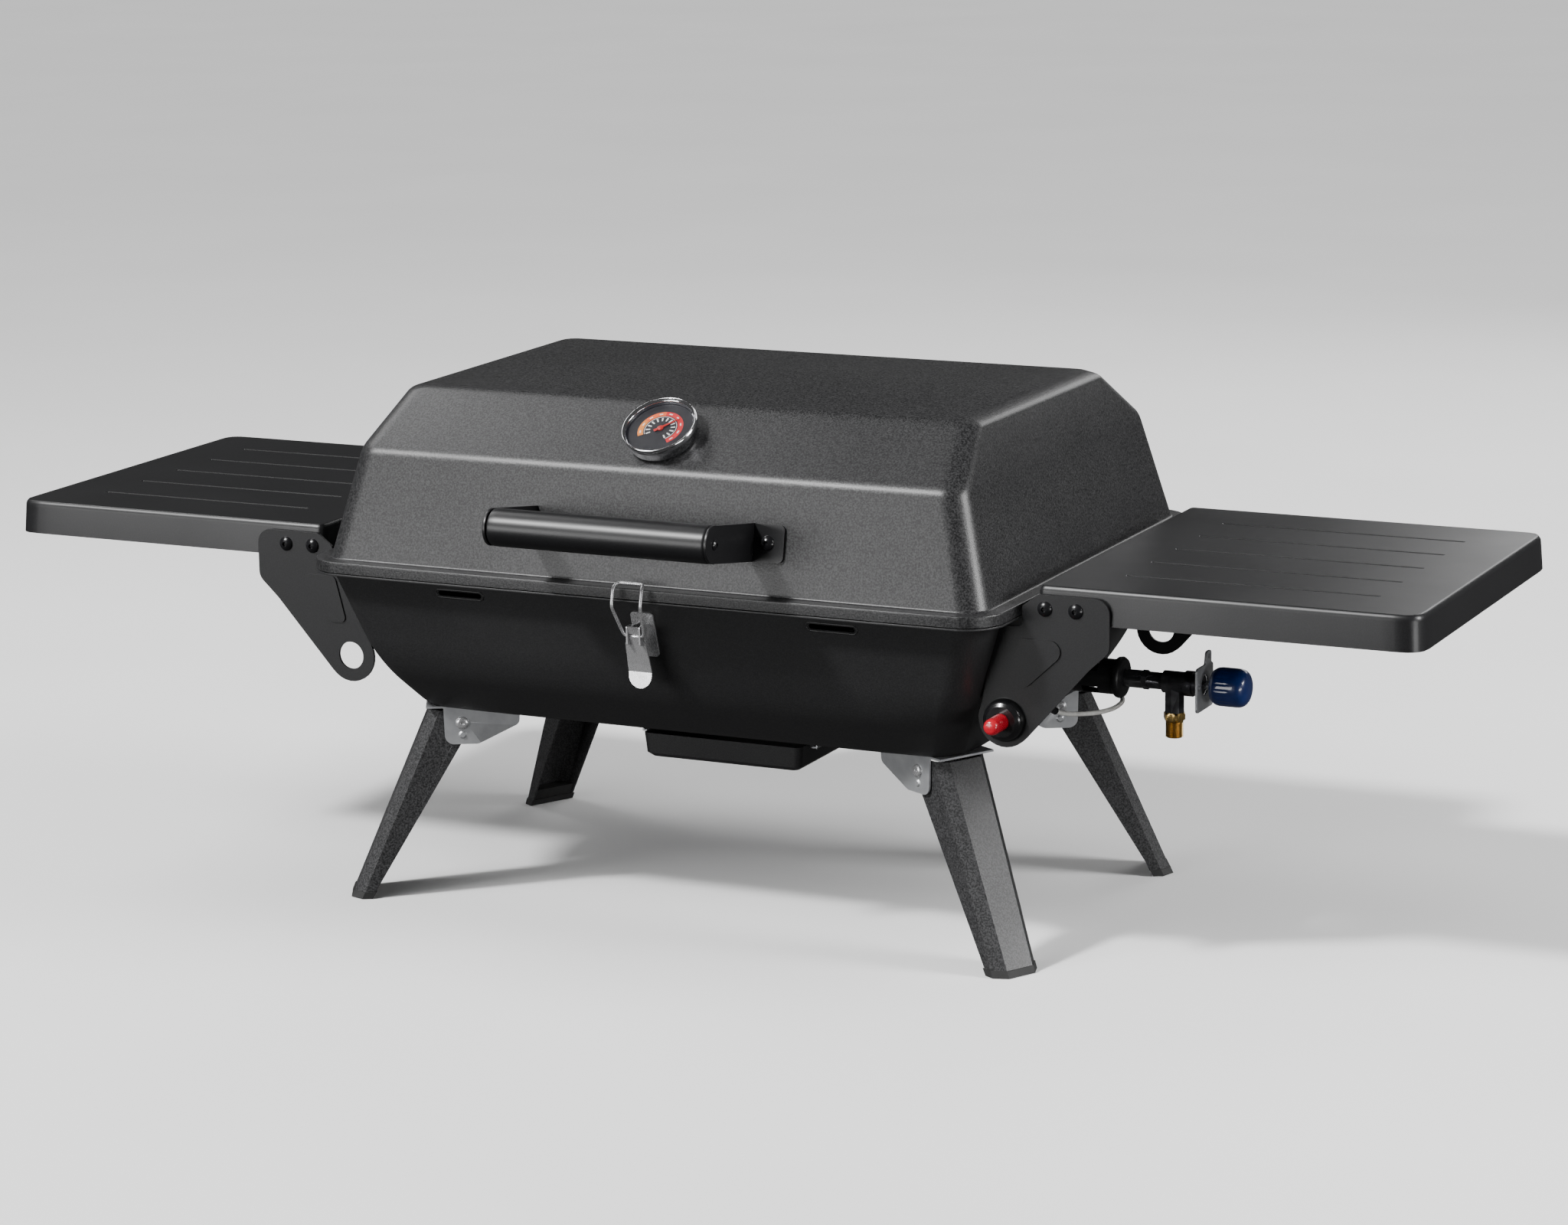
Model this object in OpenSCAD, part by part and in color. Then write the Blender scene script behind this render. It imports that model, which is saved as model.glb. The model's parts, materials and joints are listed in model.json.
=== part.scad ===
// Portable gas barbecue grill: a pressed pan and lid on four folding legs, with two
// side shelves, one gas burner, a cooking grate and a slide-out grease tray.
// X runs along the grill, the front faces -Y, +Z is up and the feet stand on z = 0.

/* [Pan and lid] */
// Length of the pan and lid walls where they meet
body_l = 530; // [440:1:640]
// Depth of the pan and lid walls where they meet
body_d = 390; // [330:1:470]
// Thickness of the pan and lid sheet
sheet = 1.5; // [1:0.1:2]
// Height of the pan's rim above the ground
rim_z = 262; // [225:1:320]
// Depth of the pan below its rim
pan_h = 112; // [95:1:135]
// Height of the lid's straight lower wall
lid_wall_h = 81; // [60:1:110]
// Height of the lid's sloping upper part
lid_slope_h = 40; // [32:1:60]
// How far the lid wall leans in at each end over its height
lid_lean_x = 21; // [10:1:30]
// How far the lid wall leans in at front and back
lid_lean_y = 17; // [8:1:28]
// How far the front and back slopes lean in
lid_slope_y = 59; // [40:1:75]
// How far the end slopes lean in
lid_slope_x = 13; // [5:1:25]
// How far the rim and the lid's lip stand out from the walls
lip_out = 11.5; // [8:0.5:14]
// Height of the lid's turned-down lip
lip_h = 8; // [6:0.5:12]
// Plan radius of the pan and lid corners
corner_r = 20; // [14:1:28]

/* [Side shelves] */
// Length of a shelf away from the pan
shelf_l = 276; // [220:1:340]
// Depth of a shelf from front to back
shelf_d = 304; // [250:1:340]
// Depth of a shelf's skirt
shelf_skirt = 25; // [20:1:32]
// Height of the shelf top above the pan's rim
shelf_up = 23.5; // [20:0.5:30]
// Gap between the lid's lip and a shelf
shelf_gap = 13.5; // [10:0.5:20]
// Shelf sheet thickness
shelf_t = 1.2; // [0.8:0.1:2]
// Number of grooves in a shelf
grooves = 5; // [3:1:7]

/* [Side arms] */
// Thickness of the side arm plates
arm_t = 2; // [1.5:0.1:3]
// Radius of the hole at the lower end of each arm
arm_hole_r = 10.5; // [8:0.5:13]
// Radius of the bolts' shanks
bolt_r = 3; // [2.5:0.5:4]
// Distance between the two shelf bolts
bolt_gap = 23; // [19:1:30]

/* [Legs] */
// Splay of a leg's outer face from vertical, in degrees
leg_splay = 23.4; // [15:0.1:28]
// Direction of a leg's swing, in degrees from the X axis
leg_turn = 28.5; // [20:0.5:40]
// Width of a leg at its top
leg_top_w = 44.4; // [36:0.1:54]
// Width of a leg at its foot
leg_foot_w = 39.2; // [32:0.1:48]
// Depth of a leg's channel at its foot
leg_foot_d = 15; // [12:0.5:20]
// Depth of a leg's channel at its pivot
leg_top_d = 37.5; // [31:0.5:45]
// Size of the chamfers along a leg's outer edges
leg_chamfer = 8; // [5:0.5:10]
// Thickness of the leg sheet
leg_t = 1.5; // [1:0.1:2.5]
// Thickness of a rubber foot
foot_h = 5; // [4:0.5:8]

/* [Handle] */
// Diameter of the handle tube
handle_dia = 27.5; // [22:0.5:34]
// Length of the handle tube
handle_l = 173; // [140:1:210]
// Distance of the handle's axis in front of the lid wall
handle_out = 63; // [50:1:80]

/* [Gas valve] */
// Diameter of the venturi cup
cup_dia = 26; // [22:1:30]
// Outer diameter of the gas inlet's thread
inlet_dia = 13.157; // [9.7:0.001:16.7]
// Length of the gas inlet's thread
inlet_l = 13; // [10:0.5:16]
// Diameter of the control knob
knob_dia = 28.4; // [24:0.1:34]

/* [Thermometer] */
// Diameter of the thermometer's bezel
gauge_dia = 56.5; // [45:0.5:64]
// Height of the thermometer's case
gauge_h = 15; // [11:1:19]

/* [Grease tray] */
// Width of the grease tray
tray_w = 132; // [110:1:160]
// Depth of the grease tray from front to back
tray_l = 140; // [115:1:170]
// Height of the grease tray
tray_h = 18.5; // [15:0.5:21]

/* [Hidden] */
$fn = 40;
eps = 0.01;
gap = 0.3;         // clearance between pieces that move past each other
slip = 0.05;       // radial running clearance of a pin in its hole

// Body outline
half_l = body_l / 2;
half_d = body_d / 2;
floor_z = rim_z - pan_h;
rim_t = 1.5;
lid_z0 = rim_z + gap + 0.5;          // lower edge of the lid's lip
lid_z1 = lid_z0 + lip_h;             // top of the lid's lip
lid_z2 = lid_z1 + lid_wall_h;
lid_z3 = lid_z2 + lid_slope_h;
lip_l = half_l + lip_out;
lip_d = half_d + lip_out;
kink_h = 40;                          // height of the pan's crease above its floor
wall_lean = 0.295;                    // inward lean of the pan's upper wall
function wall_in(z) = (rim_z - z) * wall_lean;
floor_in_x = 43;                      // how far the floor's edge stands in from the rim
floor_in_y = 57;
kink_z = floor_z + kink_h + 9;        // the upper wall ends here and rounds into the lower slope
kink_in = wall_in(kink_z);
// Stations of the pan: half length, half depth, height, corner radius
pan_stations = [
    [half_l, half_d, rim_z, corner_r],
    [half_l - kink_in, half_d - kink_in, kink_z, corner_r + 4],
    [half_l - kink_in - 8, half_d - kink_in - 10, kink_z - 20, corner_r + 8],
    [half_l - floor_in_x + 4, half_d - floor_in_y + 5, floor_z + 4, corner_r + 10],
    [half_l - floor_in_x, half_d - floor_in_y, floor_z, corner_r + 8]];
lid_l2 = half_l - lid_lean_x;
lid_d2 = half_d - lid_lean_y;
lid_l3 = lid_l2 - lid_slope_x;
lid_d3 = lid_d2 - lid_slope_y;
edge_r = 9;                           // rounding of the lid's top edges at the ends
top_round = 5;                        // run and rise of the bend between a slope and the top
top_drop = 3;
slope_run = lid_slope_y - top_round;  // flat part of the lid's front slope
slope_rise = lid_slope_h - top_drop;
lid_stations = [
    [half_l, half_d, lid_z1 - 1, corner_r],
    [half_l, half_d, lid_z1, corner_r],
    [lid_l2, lid_d2, lid_z2, corner_r - 3],
    [lid_l3 + 0.5, lid_d3 + top_round, lid_z3 - top_drop, corner_r - 6],
    [lid_l3 - edge_r, lid_d3 - 1, lid_z3, corner_r - 9]];

// Handle
handle_flange_z = lid_z1 + 37;
lid_wall_tan = lid_lean_y / lid_wall_h;
function lid_front(z) = -(half_d - (z - lid_z1) * lid_wall_tan);
handle_y = lid_front(handle_flange_z) - handle_out;
handle_z = handle_flange_z + 10;
strap_t = 2;
strap_w = 27;
strap_x = handle_l / 2 + strap_t / 2;
flange_l = 26;

// Rear hinges
hinge_r = 3.5;
hinge_pin_r = 1.6;
hinge_y = lip_d + hinge_r + 2;
hinge_z = lid_z0 - 0.2;
hinge_x = 150 / 265 * half_l;
hinge_w = 42;
leaf_t = 1.5;
knuckle = 13;

// Everything is moved so that the origin lies under the middle of the whole grill
frame_y = (-(handle_y - handle_dia / 2 - 0.25) - (hinge_y + hinge_r)) / 2;

// Shelves and arms
shelf_x0 = lip_l + shelf_gap;
shelf_z = rim_z + shelf_up;
arm_y = shelf_d / 2 + 2;              // inner face of the arms
bolt_x = shelf_x0 + 7;
bolt_z = shelf_z - 15.5;
bolt_head_r = 5.5;
bolt_head_h = 3.2;
nut_h = 4.5;
skirt_flare = 1.5;
ring_x = half_l + 1.5;
ring_z = floor_z + 38;
ring_r = arm_hole_r + 9.5;
arm_x1 = bolt_x + bolt_gap + 25;

// Legs: swing pivot of the front right leg, and its own frame (u outward, z up)
pivot_u = -23;                        // from the floor's corner, inward along X
pivot_x = half_l - floor_in_x + pivot_u;
pivot_y = half_d - floor_in_y - 30;
pivot_z = floor_z - 13.2;
pivot_r = 3;
leg_top_z = floor_z - 4;
arc_r = 9.5;                          // rounding of a leg's inner top corner
leg_back = 8.8;                       // from the pivot to the leg's inner edge
bracket_t = 1.5;
bracket_gap = 0.5;
bracket_v = leg_top_w / 2 + bracket_gap;
leg_tan = tan(leg_splay);
leg_in_tan = leg_tan + (leg_top_d - leg_foot_d) / pivot_z;
leg_out_0 = leg_top_d - leg_back + pivot_z * leg_tan;
foot_over = 0.8;

// Gas line
gas_z = floor_z + 36.5;
cup_x0 = half_l - 35;
cup_x1 = half_l + 25;
cup_flange = 7;
injector_x0 = cup_x1 + cup_flange;
valve_x0 = injector_x0 + 30;
valve_x1 = valve_x0 + 17;
plate_x = valve_x1 + 13;
plate_t = 1.5;
knob_x0 = plate_x + 8;
knob_l = 28;
inlet_x = valve_x0 + 8;
inlet_r = inlet_dia / 2;
stem_r = 3;
burner_r = 10;
burner_t = 1;
burner_x = 150 / 265 * half_l;
burner_y = 70 / 195 * half_d;
bend_r = 30;

// Igniter
igniter_r = 9.5;
button_r = 6;
button_travel = 4.5;
button_root = 12;                     // length of the button inside the collar
button_out = 20;                      // length of the button outside it
button_l = button_root + button_out;
collar_r = 15.5;
collar_h = 8;
igniter_l = 42;

// Lead from the igniter's tail under the venturi cup to the electrode inside the pan
lead_r = 1.8;
tail_l = 9;
electrode_y = 18;
electrode_z = gas_z - 8;
electrode_x = burner_x + 56;          // tail of the electrode's ceramic
lead_y0 = -arm_y - arm_t + igniter_l + tail_l;
lead_pts = [
    [ring_x, lead_y0, ring_z], [ring_x, lead_y0 + 7, ring_z], [half_l + 3, lead_y0 + 17, ring_z - 4],
    [half_l + 7, lead_y0 * 0.71, gas_z - 10.5], [half_l + 11, lead_y0 * 0.55, gas_z - 16],
    [half_l + 16, lead_y0 * 0.4, gas_z - 19], [half_l + 22, lead_y0 * 0.27, gas_z - 20.5],
    [half_l + 27, lead_y0 * 0.15, gas_z - 20.5], [half_l + 29, -6, gas_z - 19.5],
    [half_l + 28, 4, gas_z - 18.5], [half_l + 23, 13, gas_z - 16.5], [half_l + 15, 18, gas_z - 14.5],
    [half_l + 3, 18.5, gas_z - 11.5], [half_l - 9, electrode_y, electrode_z],
    [half_l - 25, electrode_y, electrode_z], [electrode_x, electrode_y, electrode_z]];

// Thermometer: its axis stands square on the lid's front slope
gauge_lean = atan2(slope_rise, slope_run);
gauge_y = -(lid_d2 - slope_run / 2);
gauge_z = lid_z2 + slope_rise / 2;
gauge_r = gauge_dia / 2;
gauge_stem_r = 4;
slope_t = sheet * (sin(gauge_lean) + cos(gauge_lean));   // lid thickness measured along that axis

// Grease tray
tray_z1 = floor_z - 23;
tray_z0 = tray_z1 - tray_h;
tray_y0 = -69;
tray_t = 1;
tray_lip = 5;
rail_x = tray_w / 2 + tray_lip + 1;

// Latch: lever pivot and bail pivot, and the bail's bar above the lid's lip
latch_y = -(half_d + 5);
latch_z = rim_z - 22;
bail_y = latch_y - 4.6;
bail_z = latch_z - 4;
wire_r = 1.25;
bar_y = -(lip_d + wire_r + gap);
bar_z = lid_z1 + 4.2;
latch_pin_r = 1.5;

// Cooking grate
grate_z = rim_z - 24;
grate_t = 8;
bar_w = 5;
bar_pitch = 16;

// ---- Shared shapes ----

// Unit vector, and the arc that rounds corner b of an outline a, b, c
function unit(v) = v / norm(v);
function corner(a, b, c, r, n = 6) =
    r <= 0 ? [b] :
    let (u = unit(a - b), v = unit(c - b),
         half = acos(max(-1, min(1, u * v))) / 2,
         m = b + unit(u + v) * r / sin(half),
         p = b + u * r / tan(half) - m,
         q = b + v * r / tan(half) - m,
         a0 = atan2(p.y, p.x), d = atan2(q.y, q.x) - a0,
         turn = d > 180 ? d - 360 : d < -180 ? d + 360 : d)
    [for (i = [0:n]) m + r * [cos(a0 + turn * i / n), sin(a0 + turn * i / n)]];
// Outline with each corner [x, y, r] rounded to its radius
function rounded(p) = let (n = len(p)) [for (i = [0:n - 1])
    let (a = p[(i + n - 1) % n], b = p[i], c = p[(i + 1) % n])
    each corner([a.x, a.y], [b.x, b.y], [c.x, c.y], b[2])];

module rounded_rect(a, b, r) {
    square([2 * a, 2 * (b - r)], center = true);
    square([2 * (a - r), 2 * b], center = true);
    for (x = [-1, 1], y = [-1, 1]) translate([x * (a - r), y * (b - r)]) circle(r);
}

// Solid through a list of stations, each drawn in by a distance
module tub(stations, inset = 0, $fn = 32) {
    top = max([for (s = stations) s[2]]);
    hull() for (s = stations)
        translate([0, 0, s[2] == top ? s[2] - eps : s[2]])
            linear_extrude(eps) rounded_rect(s[0] - inset, s[1] - inset, max(s[3] - inset, 1));
}

// Flat rounded ring lying between two rounded rectangles
module ring_band(a, b, r, width, z, h)
    translate([0, 0, z]) linear_extrude(h) difference() {
        rounded_rect(a, b, r);
        rounded_rect(a - width, b - width, max(r - width, 1));
    }

// Plate in the XZ plane whose outer face lies at y, growing towards +y
module xz_plate(y, t) translate([0, y + t, 0]) rotate([90, 0, 0]) linear_extrude(t) children();
// Plate in the YZ plane from x, growing towards +x
module yz_plate(x, t) translate([x, 0, 0]) rotate([90, 0, 90]) linear_extrude(t) children();
module along_x(r, l) rotate([0, 90, 0]) cylinder(r = r, h = l);
module along_y(r, l) rotate([-90, 0, 0]) cylinder(r = r, h = l);
module rod(a, b, r, $fn = 16) {
    d = b - a;
    translate(a) rotate([0, acos(d.z / norm(d)), atan2(d.y, d.x)]) cylinder(r = r, h = norm(d));
}
// Domed screw head with a hex socket, standing on z = 0
module button_head(r, h) difference() {
    intersection() {
        cylinder(r = r, h = h);
        translate([0, 0, h - r * 1.25]) sphere(r * 1.25, $fn = 32);
    }
    translate([0, 0, h * 0.45]) cylinder(r = r * 0.36, h = h, $fn = 6);
}

// ---- Pan ----

module pan_outer(grow = 0) tub(pan_stations, -grow);

module pan() color("#1c1c1d") difference() {
    union() {
        difference() {
            pan_outer();
            tub([for (i = [0:4]) pan_stations[i] + [0, 0, i == 0 ? 1 : i > 2 ? sheet : 0, 0]],
                sheet);
        }
        ring_band(lip_l, lip_d, corner_r + lip_out, lip_out + 1, rim_z - rim_t, rim_t - eps);
    }
    // pressed air slots
    slot_z = rim_z - 10.5;
    for (x = [-1, 1], y = [-1, 1]) translate([x * hinge_x, y * (half_d - wall_in(slot_z)), slot_z])
        cube([36, 8, 4], center = true);
    // venturi opening, lead hole and grease hole
    translate([0, 0, gas_z]) along_x(cup_dia / 2 + 0.5, half_l + 10);
    translate([half_l - 45, electrode_y, electrode_z]) along_x(lead_r + 0.8, 30);
    translate([0, 0, floor_z - 1]) cylinder(r = 14, h = 5);
}

// ---- Side arms ----

module arm_outline() polygon(rounded([
    [bolt_x - 17, bolt_z + 1, 2], [bolt_x - 5, shelf_z - 5.5, 4], [arm_x1, shelf_z - 5.5, 11],
    [arm_x1, ring_z + 55, 10], [arm_x1 - 16, ring_z + 40, 30],
    [ring_x + ring_r * 0.8, ring_z - ring_r * 0.62, 0],
    for (i = [1:14]) [ring_x + ring_r * cos(-38 - 12 * i), ring_z + ring_r * sin(-38 - 12 * i), 0],
    [half_l - 14, ring_z + 20, 0], [half_l - 8, rim_z - 6, 0], [bolt_x - 17, rim_z - 6, 3]]));

module arm_panel() polygon(rounded([
    [half_l + 13, ring_z + 60, 4], [arm_x1 - 24, ring_z + 60, 8], [ring_x + 17, ring_z + 25, 8],
    [half_l + 4, ring_z + 25, 4]]));

// Front right arm, plate facing -Y
module side_arm() difference() {
    union() {
        xz_plate(-arm_y - arm_t, arm_t) difference() {
            arm_outline();
            translate([ring_x, ring_z]) circle(arm_hole_r);
            for (i = [0, 1]) translate([bolt_x + i * bolt_gap, bolt_z]) circle(bolt_r + slip);
        }
        xz_plate(-arm_y - arm_t - 1.2, 1.2) arm_panel();
        // tab bent along the pan's end wall
        translate([0, -arm_y, 0]) rotate([90, 0, 0]) translate([0, 0, -18]) linear_extrude(18)
            polygon([[half_l - wall_in(ring_z + 14), ring_z + 14], [half_l - wall_in(rim_z - 8), rim_z - 8],
                     [half_l - wall_in(rim_z - 8) + arm_t, rim_z - 8],
                     [half_l - wall_in(ring_z + 14) + arm_t, ring_z + 14]]);
    }
    pan_outer(0.02);
}

// One bolt with its nut, axis along Y, head outside the arm
module shelf_bolt() {
    translate([0, -arm_y - arm_t, 0]) {
        rotate([90, 0, 0]) button_head(bolt_head_r, bolt_head_h);
        along_y(bolt_r, arm_t + 11.5);
        translate([0, arm_t + 4.8, 0]) rotate([-90, 30, 0]) cylinder(r = 5.6, h = nut_h, $fn = 6);
    }
}

module shelf_bolts() color("#17171a")
    for (x = [0, 1], y = [0, 1]) mirror([x, 0, 0]) mirror([0, y, 0])
        for (i = [0, 1]) translate([bolt_x + i * bolt_gap, 0, bolt_z]) shelf_bolt();

// ---- Shelves ----

// Plan of a shelf drawn in by d, with tight corners beside the pan and round ones at its far end
module shelf_plan(d) {
    x0 = shelf_x0 + d;
    x1 = shelf_x0 + shelf_l - d;
    y = shelf_d / 2 - d;
    polygon(rounded([[x0, -y, 5 - d], [x1, -y, 14 - d], [x1, y, 14 - d], [x0, y, 5 - d]]));
}

// Solid of a shelf drawn in by an inset: top, rolled edge and flared skirt
module shelf_solid(inset) {
    skirt_z = -shelf_skirt - (inset > 0 ? 1 : 0);
    hull() for (s = [[2.2, -inset - eps], [0.4, -2.4], [-skirt_flare, skirt_z]])
        translate([0, 0, shelf_z + s[1]]) linear_extrude(eps) shelf_plan(s[0] + inset);
}

module groove(z, h) translate([shelf_x0 + shelf_l / 2, 0, z]) linear_extrude(h) {
    square([shelf_l * 0.68, 6], center = true);
    for (x = [-1, 1]) translate([x * shelf_l * 0.34, 0]) circle(3);
}

module shelf() difference() {
    union() {
        difference() {
            shelf_solid(0);
            shelf_solid(shelf_t);
        }
        for (i = [0:grooves - 1]) translate([0, (i - (grooves - 1) / 2) * shelf_d / (grooves + 1), 0])
            groove(shelf_z - shelf_t - 1.4, 1.6);
    }
    for (i = [0:grooves - 1]) translate([0, (i - (grooves - 1) / 2) * shelf_d / (grooves + 1), 0])
        groove(shelf_z - 0.8, 1);
    hole_r = bolt_r + slip;
    for (y = [-1, 1]) {
        translate([bolt_x, y * shelf_d / 2 - 8, bolt_z]) along_y(hole_r, 16);
        // open notch that drops over the outer bolt
        translate([bolt_x + bolt_gap, y * shelf_d / 2 - 8, bolt_z]) {
            along_y(hole_r, 16);
            translate([0, 16, 0]) rotate([90, 0, 0]) linear_extrude(16)
                polygon([[hole_r, 0], [hole_r, -12], [-hole_r - 3.4, -12], [-hole_r, 0]]);
        }
    }
}

module shelf_right() color("#1a1a1b") shelf();
module shelf_left() color("#1a1a1b") mirror([1, 0, 0]) shelf();

// ---- Legs ----

// Place a child drawn in the front right leg's frame at one of the four corners
module at_leg(sx, sy) mirror([sx < 0 ? 1 : 0, 0, 0]) mirror([0, sy < 0 ? 0 : 1, 0])
    translate([pivot_x, -pivot_y, 0]) rotate([0, 0, -leg_turn]) children();

function leg_outer(z) = leg_out_0 - leg_tan * z;
function leg_inner(z) = leg_out_0 - leg_foot_d - leg_in_tan * z;
function leg_half_w(z) = leg_foot_w / 2 + (leg_top_w - leg_foot_w) / 2 * z / leg_top_z;

// Cross-section of the leg at height z, drawn in by i, with its open side pushed out by o
module leg_section(z, i, o = 0) translate([0, 0, z - eps / 2]) linear_extrude(eps)
    polygon([[leg_inner(z) - o, leg_half_w(z) - i], [leg_inner(z) - o, -leg_half_w(z) + i],
             [leg_outer(z) - leg_chamfer - i * 0.4, -leg_half_w(z) + i],
             [leg_outer(z) - i, -leg_half_w(z) + leg_chamfer + i * 0.4],
             [leg_outer(z) - i, leg_half_w(z) - leg_chamfer - i * 0.4],
             [leg_outer(z) - leg_chamfer - i * 0.4, leg_half_w(z) - i]]);

module leg_solid(z0, z1, i, o = 0) hull() { leg_section(z0, i, o); leg_section(z1, i, o); }

module leg() difference() {
    leg_solid(foot_h, leg_top_z, 0);
    leg_solid(foot_h - 1, leg_top_z + 1, leg_t, 20);
    // inner top corner rounded about the pivot
    difference() {
        translate([-leg_back - 20, -40, pivot_z]) cube([20 + leg_back, 80, 30]);
        translate([0, -41, pivot_z]) along_y(arc_r, 82);
    }
    translate([0, -40, pivot_z]) along_y(pivot_r + slip, 80);
}

module foot() {
    hull() for (z = [eps, foot_h - eps]) leg_section(z, -foot_over, foot_over);
    leg_solid(foot_h - eps, foot_h + 9, leg_t + 0.1, -1);
}

module bracket_side() polygon(rounded([
    [14, floor_z - eps, 0], [13.2, pivot_z - 16.5, 7], [-12, pivot_z - 16.5, 8],
    [-43, pivot_z - 1.5, 5], [-44, floor_z - eps, 0]]));

module leg_bracket() difference() {
    union() {
        for (s = [-1, 1]) translate([0, s * (bracket_v + bracket_t / 2), 0])
            xz_plate(-bracket_t / 2, bracket_t) bracket_side();
        translate([-44, -bracket_v - bracket_t, floor_z - bracket_t - 0.02])
            cube([71, 2 * (bracket_v + bracket_t), bracket_t]);
        // dimples that hold the leg open
        for (s = [-1, 1]) translate([0, s * (bracket_v + bracket_t), pivot_z - 9.2])
            rotate([s > 0 ? -90 : 90, 0, 0]) cylinder(r1 = 3, r2 = 1.8, h = 1);
    }
    translate([0, -40, pivot_z]) along_y(pivot_r + slip, 80);
}

// Upset head of a pivot pin, hollow in the middle
module pin_head() rotate_extrude()
    polygon([[0, 0], [5, 0], [4.6, 1.3], [3, 2], [1.6, 2], [1.2, 1], [0, 1]]);

module leg_pivot_pin() {
    l = 2 * (bracket_v + bracket_t);
    translate([0, -l / 2, pivot_z]) {
        along_y(pivot_r, l);
        rotate([90, 0, 0]) pin_head();
        translate([0, l, 0]) rotate([-90, 0, 0]) pin_head();
    }
}

module leg_pivot_pins() color("silver") for (x = [-1, 1], y = [-1, 1]) at_leg(x, y) leg_pivot_pin();

// ---- Burner and grate ----

// Rectangular tube loop of radius r about the burner's centre line
module burner_loop(r) {
    for (y = [-1, 1]) translate([-burner_x + bend_r, y * burner_y, 0]) along_x(r, 2 * (burner_x - bend_r));
    for (x = [-1, 1]) translate([x * burner_x, -burner_y + bend_r, 0]) along_y(r, 2 * (burner_y - bend_r));
    for (c = [[1, 1, 0], [-1, 1, 90], [-1, -1, 180], [1, -1, 270]])
        translate([c.x * (burner_x - bend_r), c.y * (burner_y - bend_r), 0])
            rotate([0, 0, c.z]) rotate_extrude(angle = 90) translate([bend_r, 0]) circle(r);
}

module burner() color("#8d8a86") translate([0, 0, gas_z]) difference() {
    union() {
        burner_loop(burner_r);
        translate([burner_x, 0, 0]) along_x(burner_r, cup_x0 - burner_x - 1);
    }
    burner_loop(burner_r - burner_t);
    translate([burner_x, 0, 0]) along_x(burner_r - burner_t, cup_x0 - burner_x + 5);
    // flame ports
    port_pitch = (burner_x - bend_r) / 5.5;
    for (x = [-5:5], y = [-1, 1]) translate([x * port_pitch, y * burner_y, 0])
        cylinder(r = 1.2, h = 20, $fn = 16);
}

module flame_tamers() color("#77726c") for (y = [-1, 1]) translate([0, y * burner_y, gas_z + 14])
    difference() {
        rotate([90, 0, 90]) translate([0, 0, -burner_x + 10]) linear_extrude(2 * burner_x - 20)
            polygon([[-30, 0], [0, 16], [30, 0], [30, 1.6], [0, 17.6], [-30, 1.6]]);
        for (x = [-4:4]) translate([x * burner_x / 5.5, 0, 0]) for (s = [-1, 1])
            translate([0, s * 15, 0]) cylinder(r = 3, h = 30, $fn = 16);
    }

// Shelf angles on the pan's front and back walls that carry the grate
module grate_supports() color("#8d8a86") for (x = [-1, 1], y = [-1, 1]) {
    drop = 20;
    lean = drop * wall_lean;
    wall_y = half_d - wall_in(grate_z - drop) - sheet - 0.4;
    translate([x * half_l * 0.55, y * wall_y, grate_z - drop]) mirror([0, y < 0 ? 0 : 1, 0])
        rotate([90, 0, 90]) translate([0, 0, -15]) linear_extrude(30)
            polygon([[0, 0], [-lean, drop], [17 - lean, drop], [17 - lean, drop - sheet],
                     [sheet - (drop - sheet) * wall_lean, drop - sheet], [sheet, 0]]);
}

module cooking_grate() color("#2b2a2a") {
    gl = half_l - wall_in(grate_z) - sheet - 8;
    gd = half_d - wall_in(grate_z) - sheet - 7;
    for (s = [-1, 1]) translate([s * (gl + 1) / 2, 0, grate_z]) {
        w = (gl - 1) / 2;
        difference() {
            translate([-w, -gd, 0]) cube([2 * w, 2 * gd, grate_t]);
            n = floor((2 * w - 12) / bar_pitch);
            for (i = [0:n - 1], j = [-1, 1])
                translate([(i - (n - 1) / 2) * bar_pitch, j * gd / 2, grate_t / 2])
                    cube([bar_pitch - bar_w, gd - 14, grate_t + 2], center = true);
        }
    }
}

module electrode_ceramic() color("white") translate([electrode_x - 26, electrode_y, electrode_z]) {
    along_x(3.2, 26);
    translate([7, 0, 0]) along_x(4.2, 9);
}

module spark_electrode() color("silver") {
    translate([electrode_x - 38, electrode_y, electrode_z]) {
        along_x(1.1, 12 - eps);
        rod([0, 0, 0], [-6, -2, 12], 1.1);
    }
}

// ---- Gas valve ----

module venturi_cup() color("#202021") translate([0, 0, gas_z]) difference() {
    r = cup_dia / 2;
    union() {
        translate([cup_x0, 0, 0]) along_x(r, cup_x1 - cup_x0);
        translate([cup_x1, 0, 0]) rotate([0, 90, 0]) rotate_extrude()
            polygon([[0, 0], [r + 0.6, 0], [r + 2, 1.6], [r + 2.4, 4],
                     [r + 1.2, cup_flange - 1], [r - 2.5, cup_flange], [0, cup_flange]]);
    }
    translate([cup_x0 - 1, 0, 0]) along_x(r - 1.2, cup_x1 - cup_x0 + 1);
    translate([cup_x1 - 1, 0, 0]) along_x(5 + slip, cup_flange + 2);
    // air windows
    for (a = [0:3]) rotate([45 + 90 * a, 0, 0]) translate([cup_x1 - 24, -4, 8]) cube([13, 8, 10]);
}

module gas_injector() color("#9a8f78") translate([0, 0, gas_z]) {
    translate([injector_x0 - cup_flange - 6, 0, 0]) along_x(2.2, 6);
    translate([injector_x0 - cup_flange, 0, 0]) along_x(5, cup_flange);
    translate([injector_x0, 0, 0]) along_x(6.6, 14);
    translate([injector_x0 + 14, 0, 0]) rotate([0, 90, 0]) cylinder(r = 7.4, h = 4, $fn = 6);
    translate([injector_x0 + 18, 0, 0]) along_x(6.2, valve_x0 - injector_x0 - 18);
}

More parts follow.
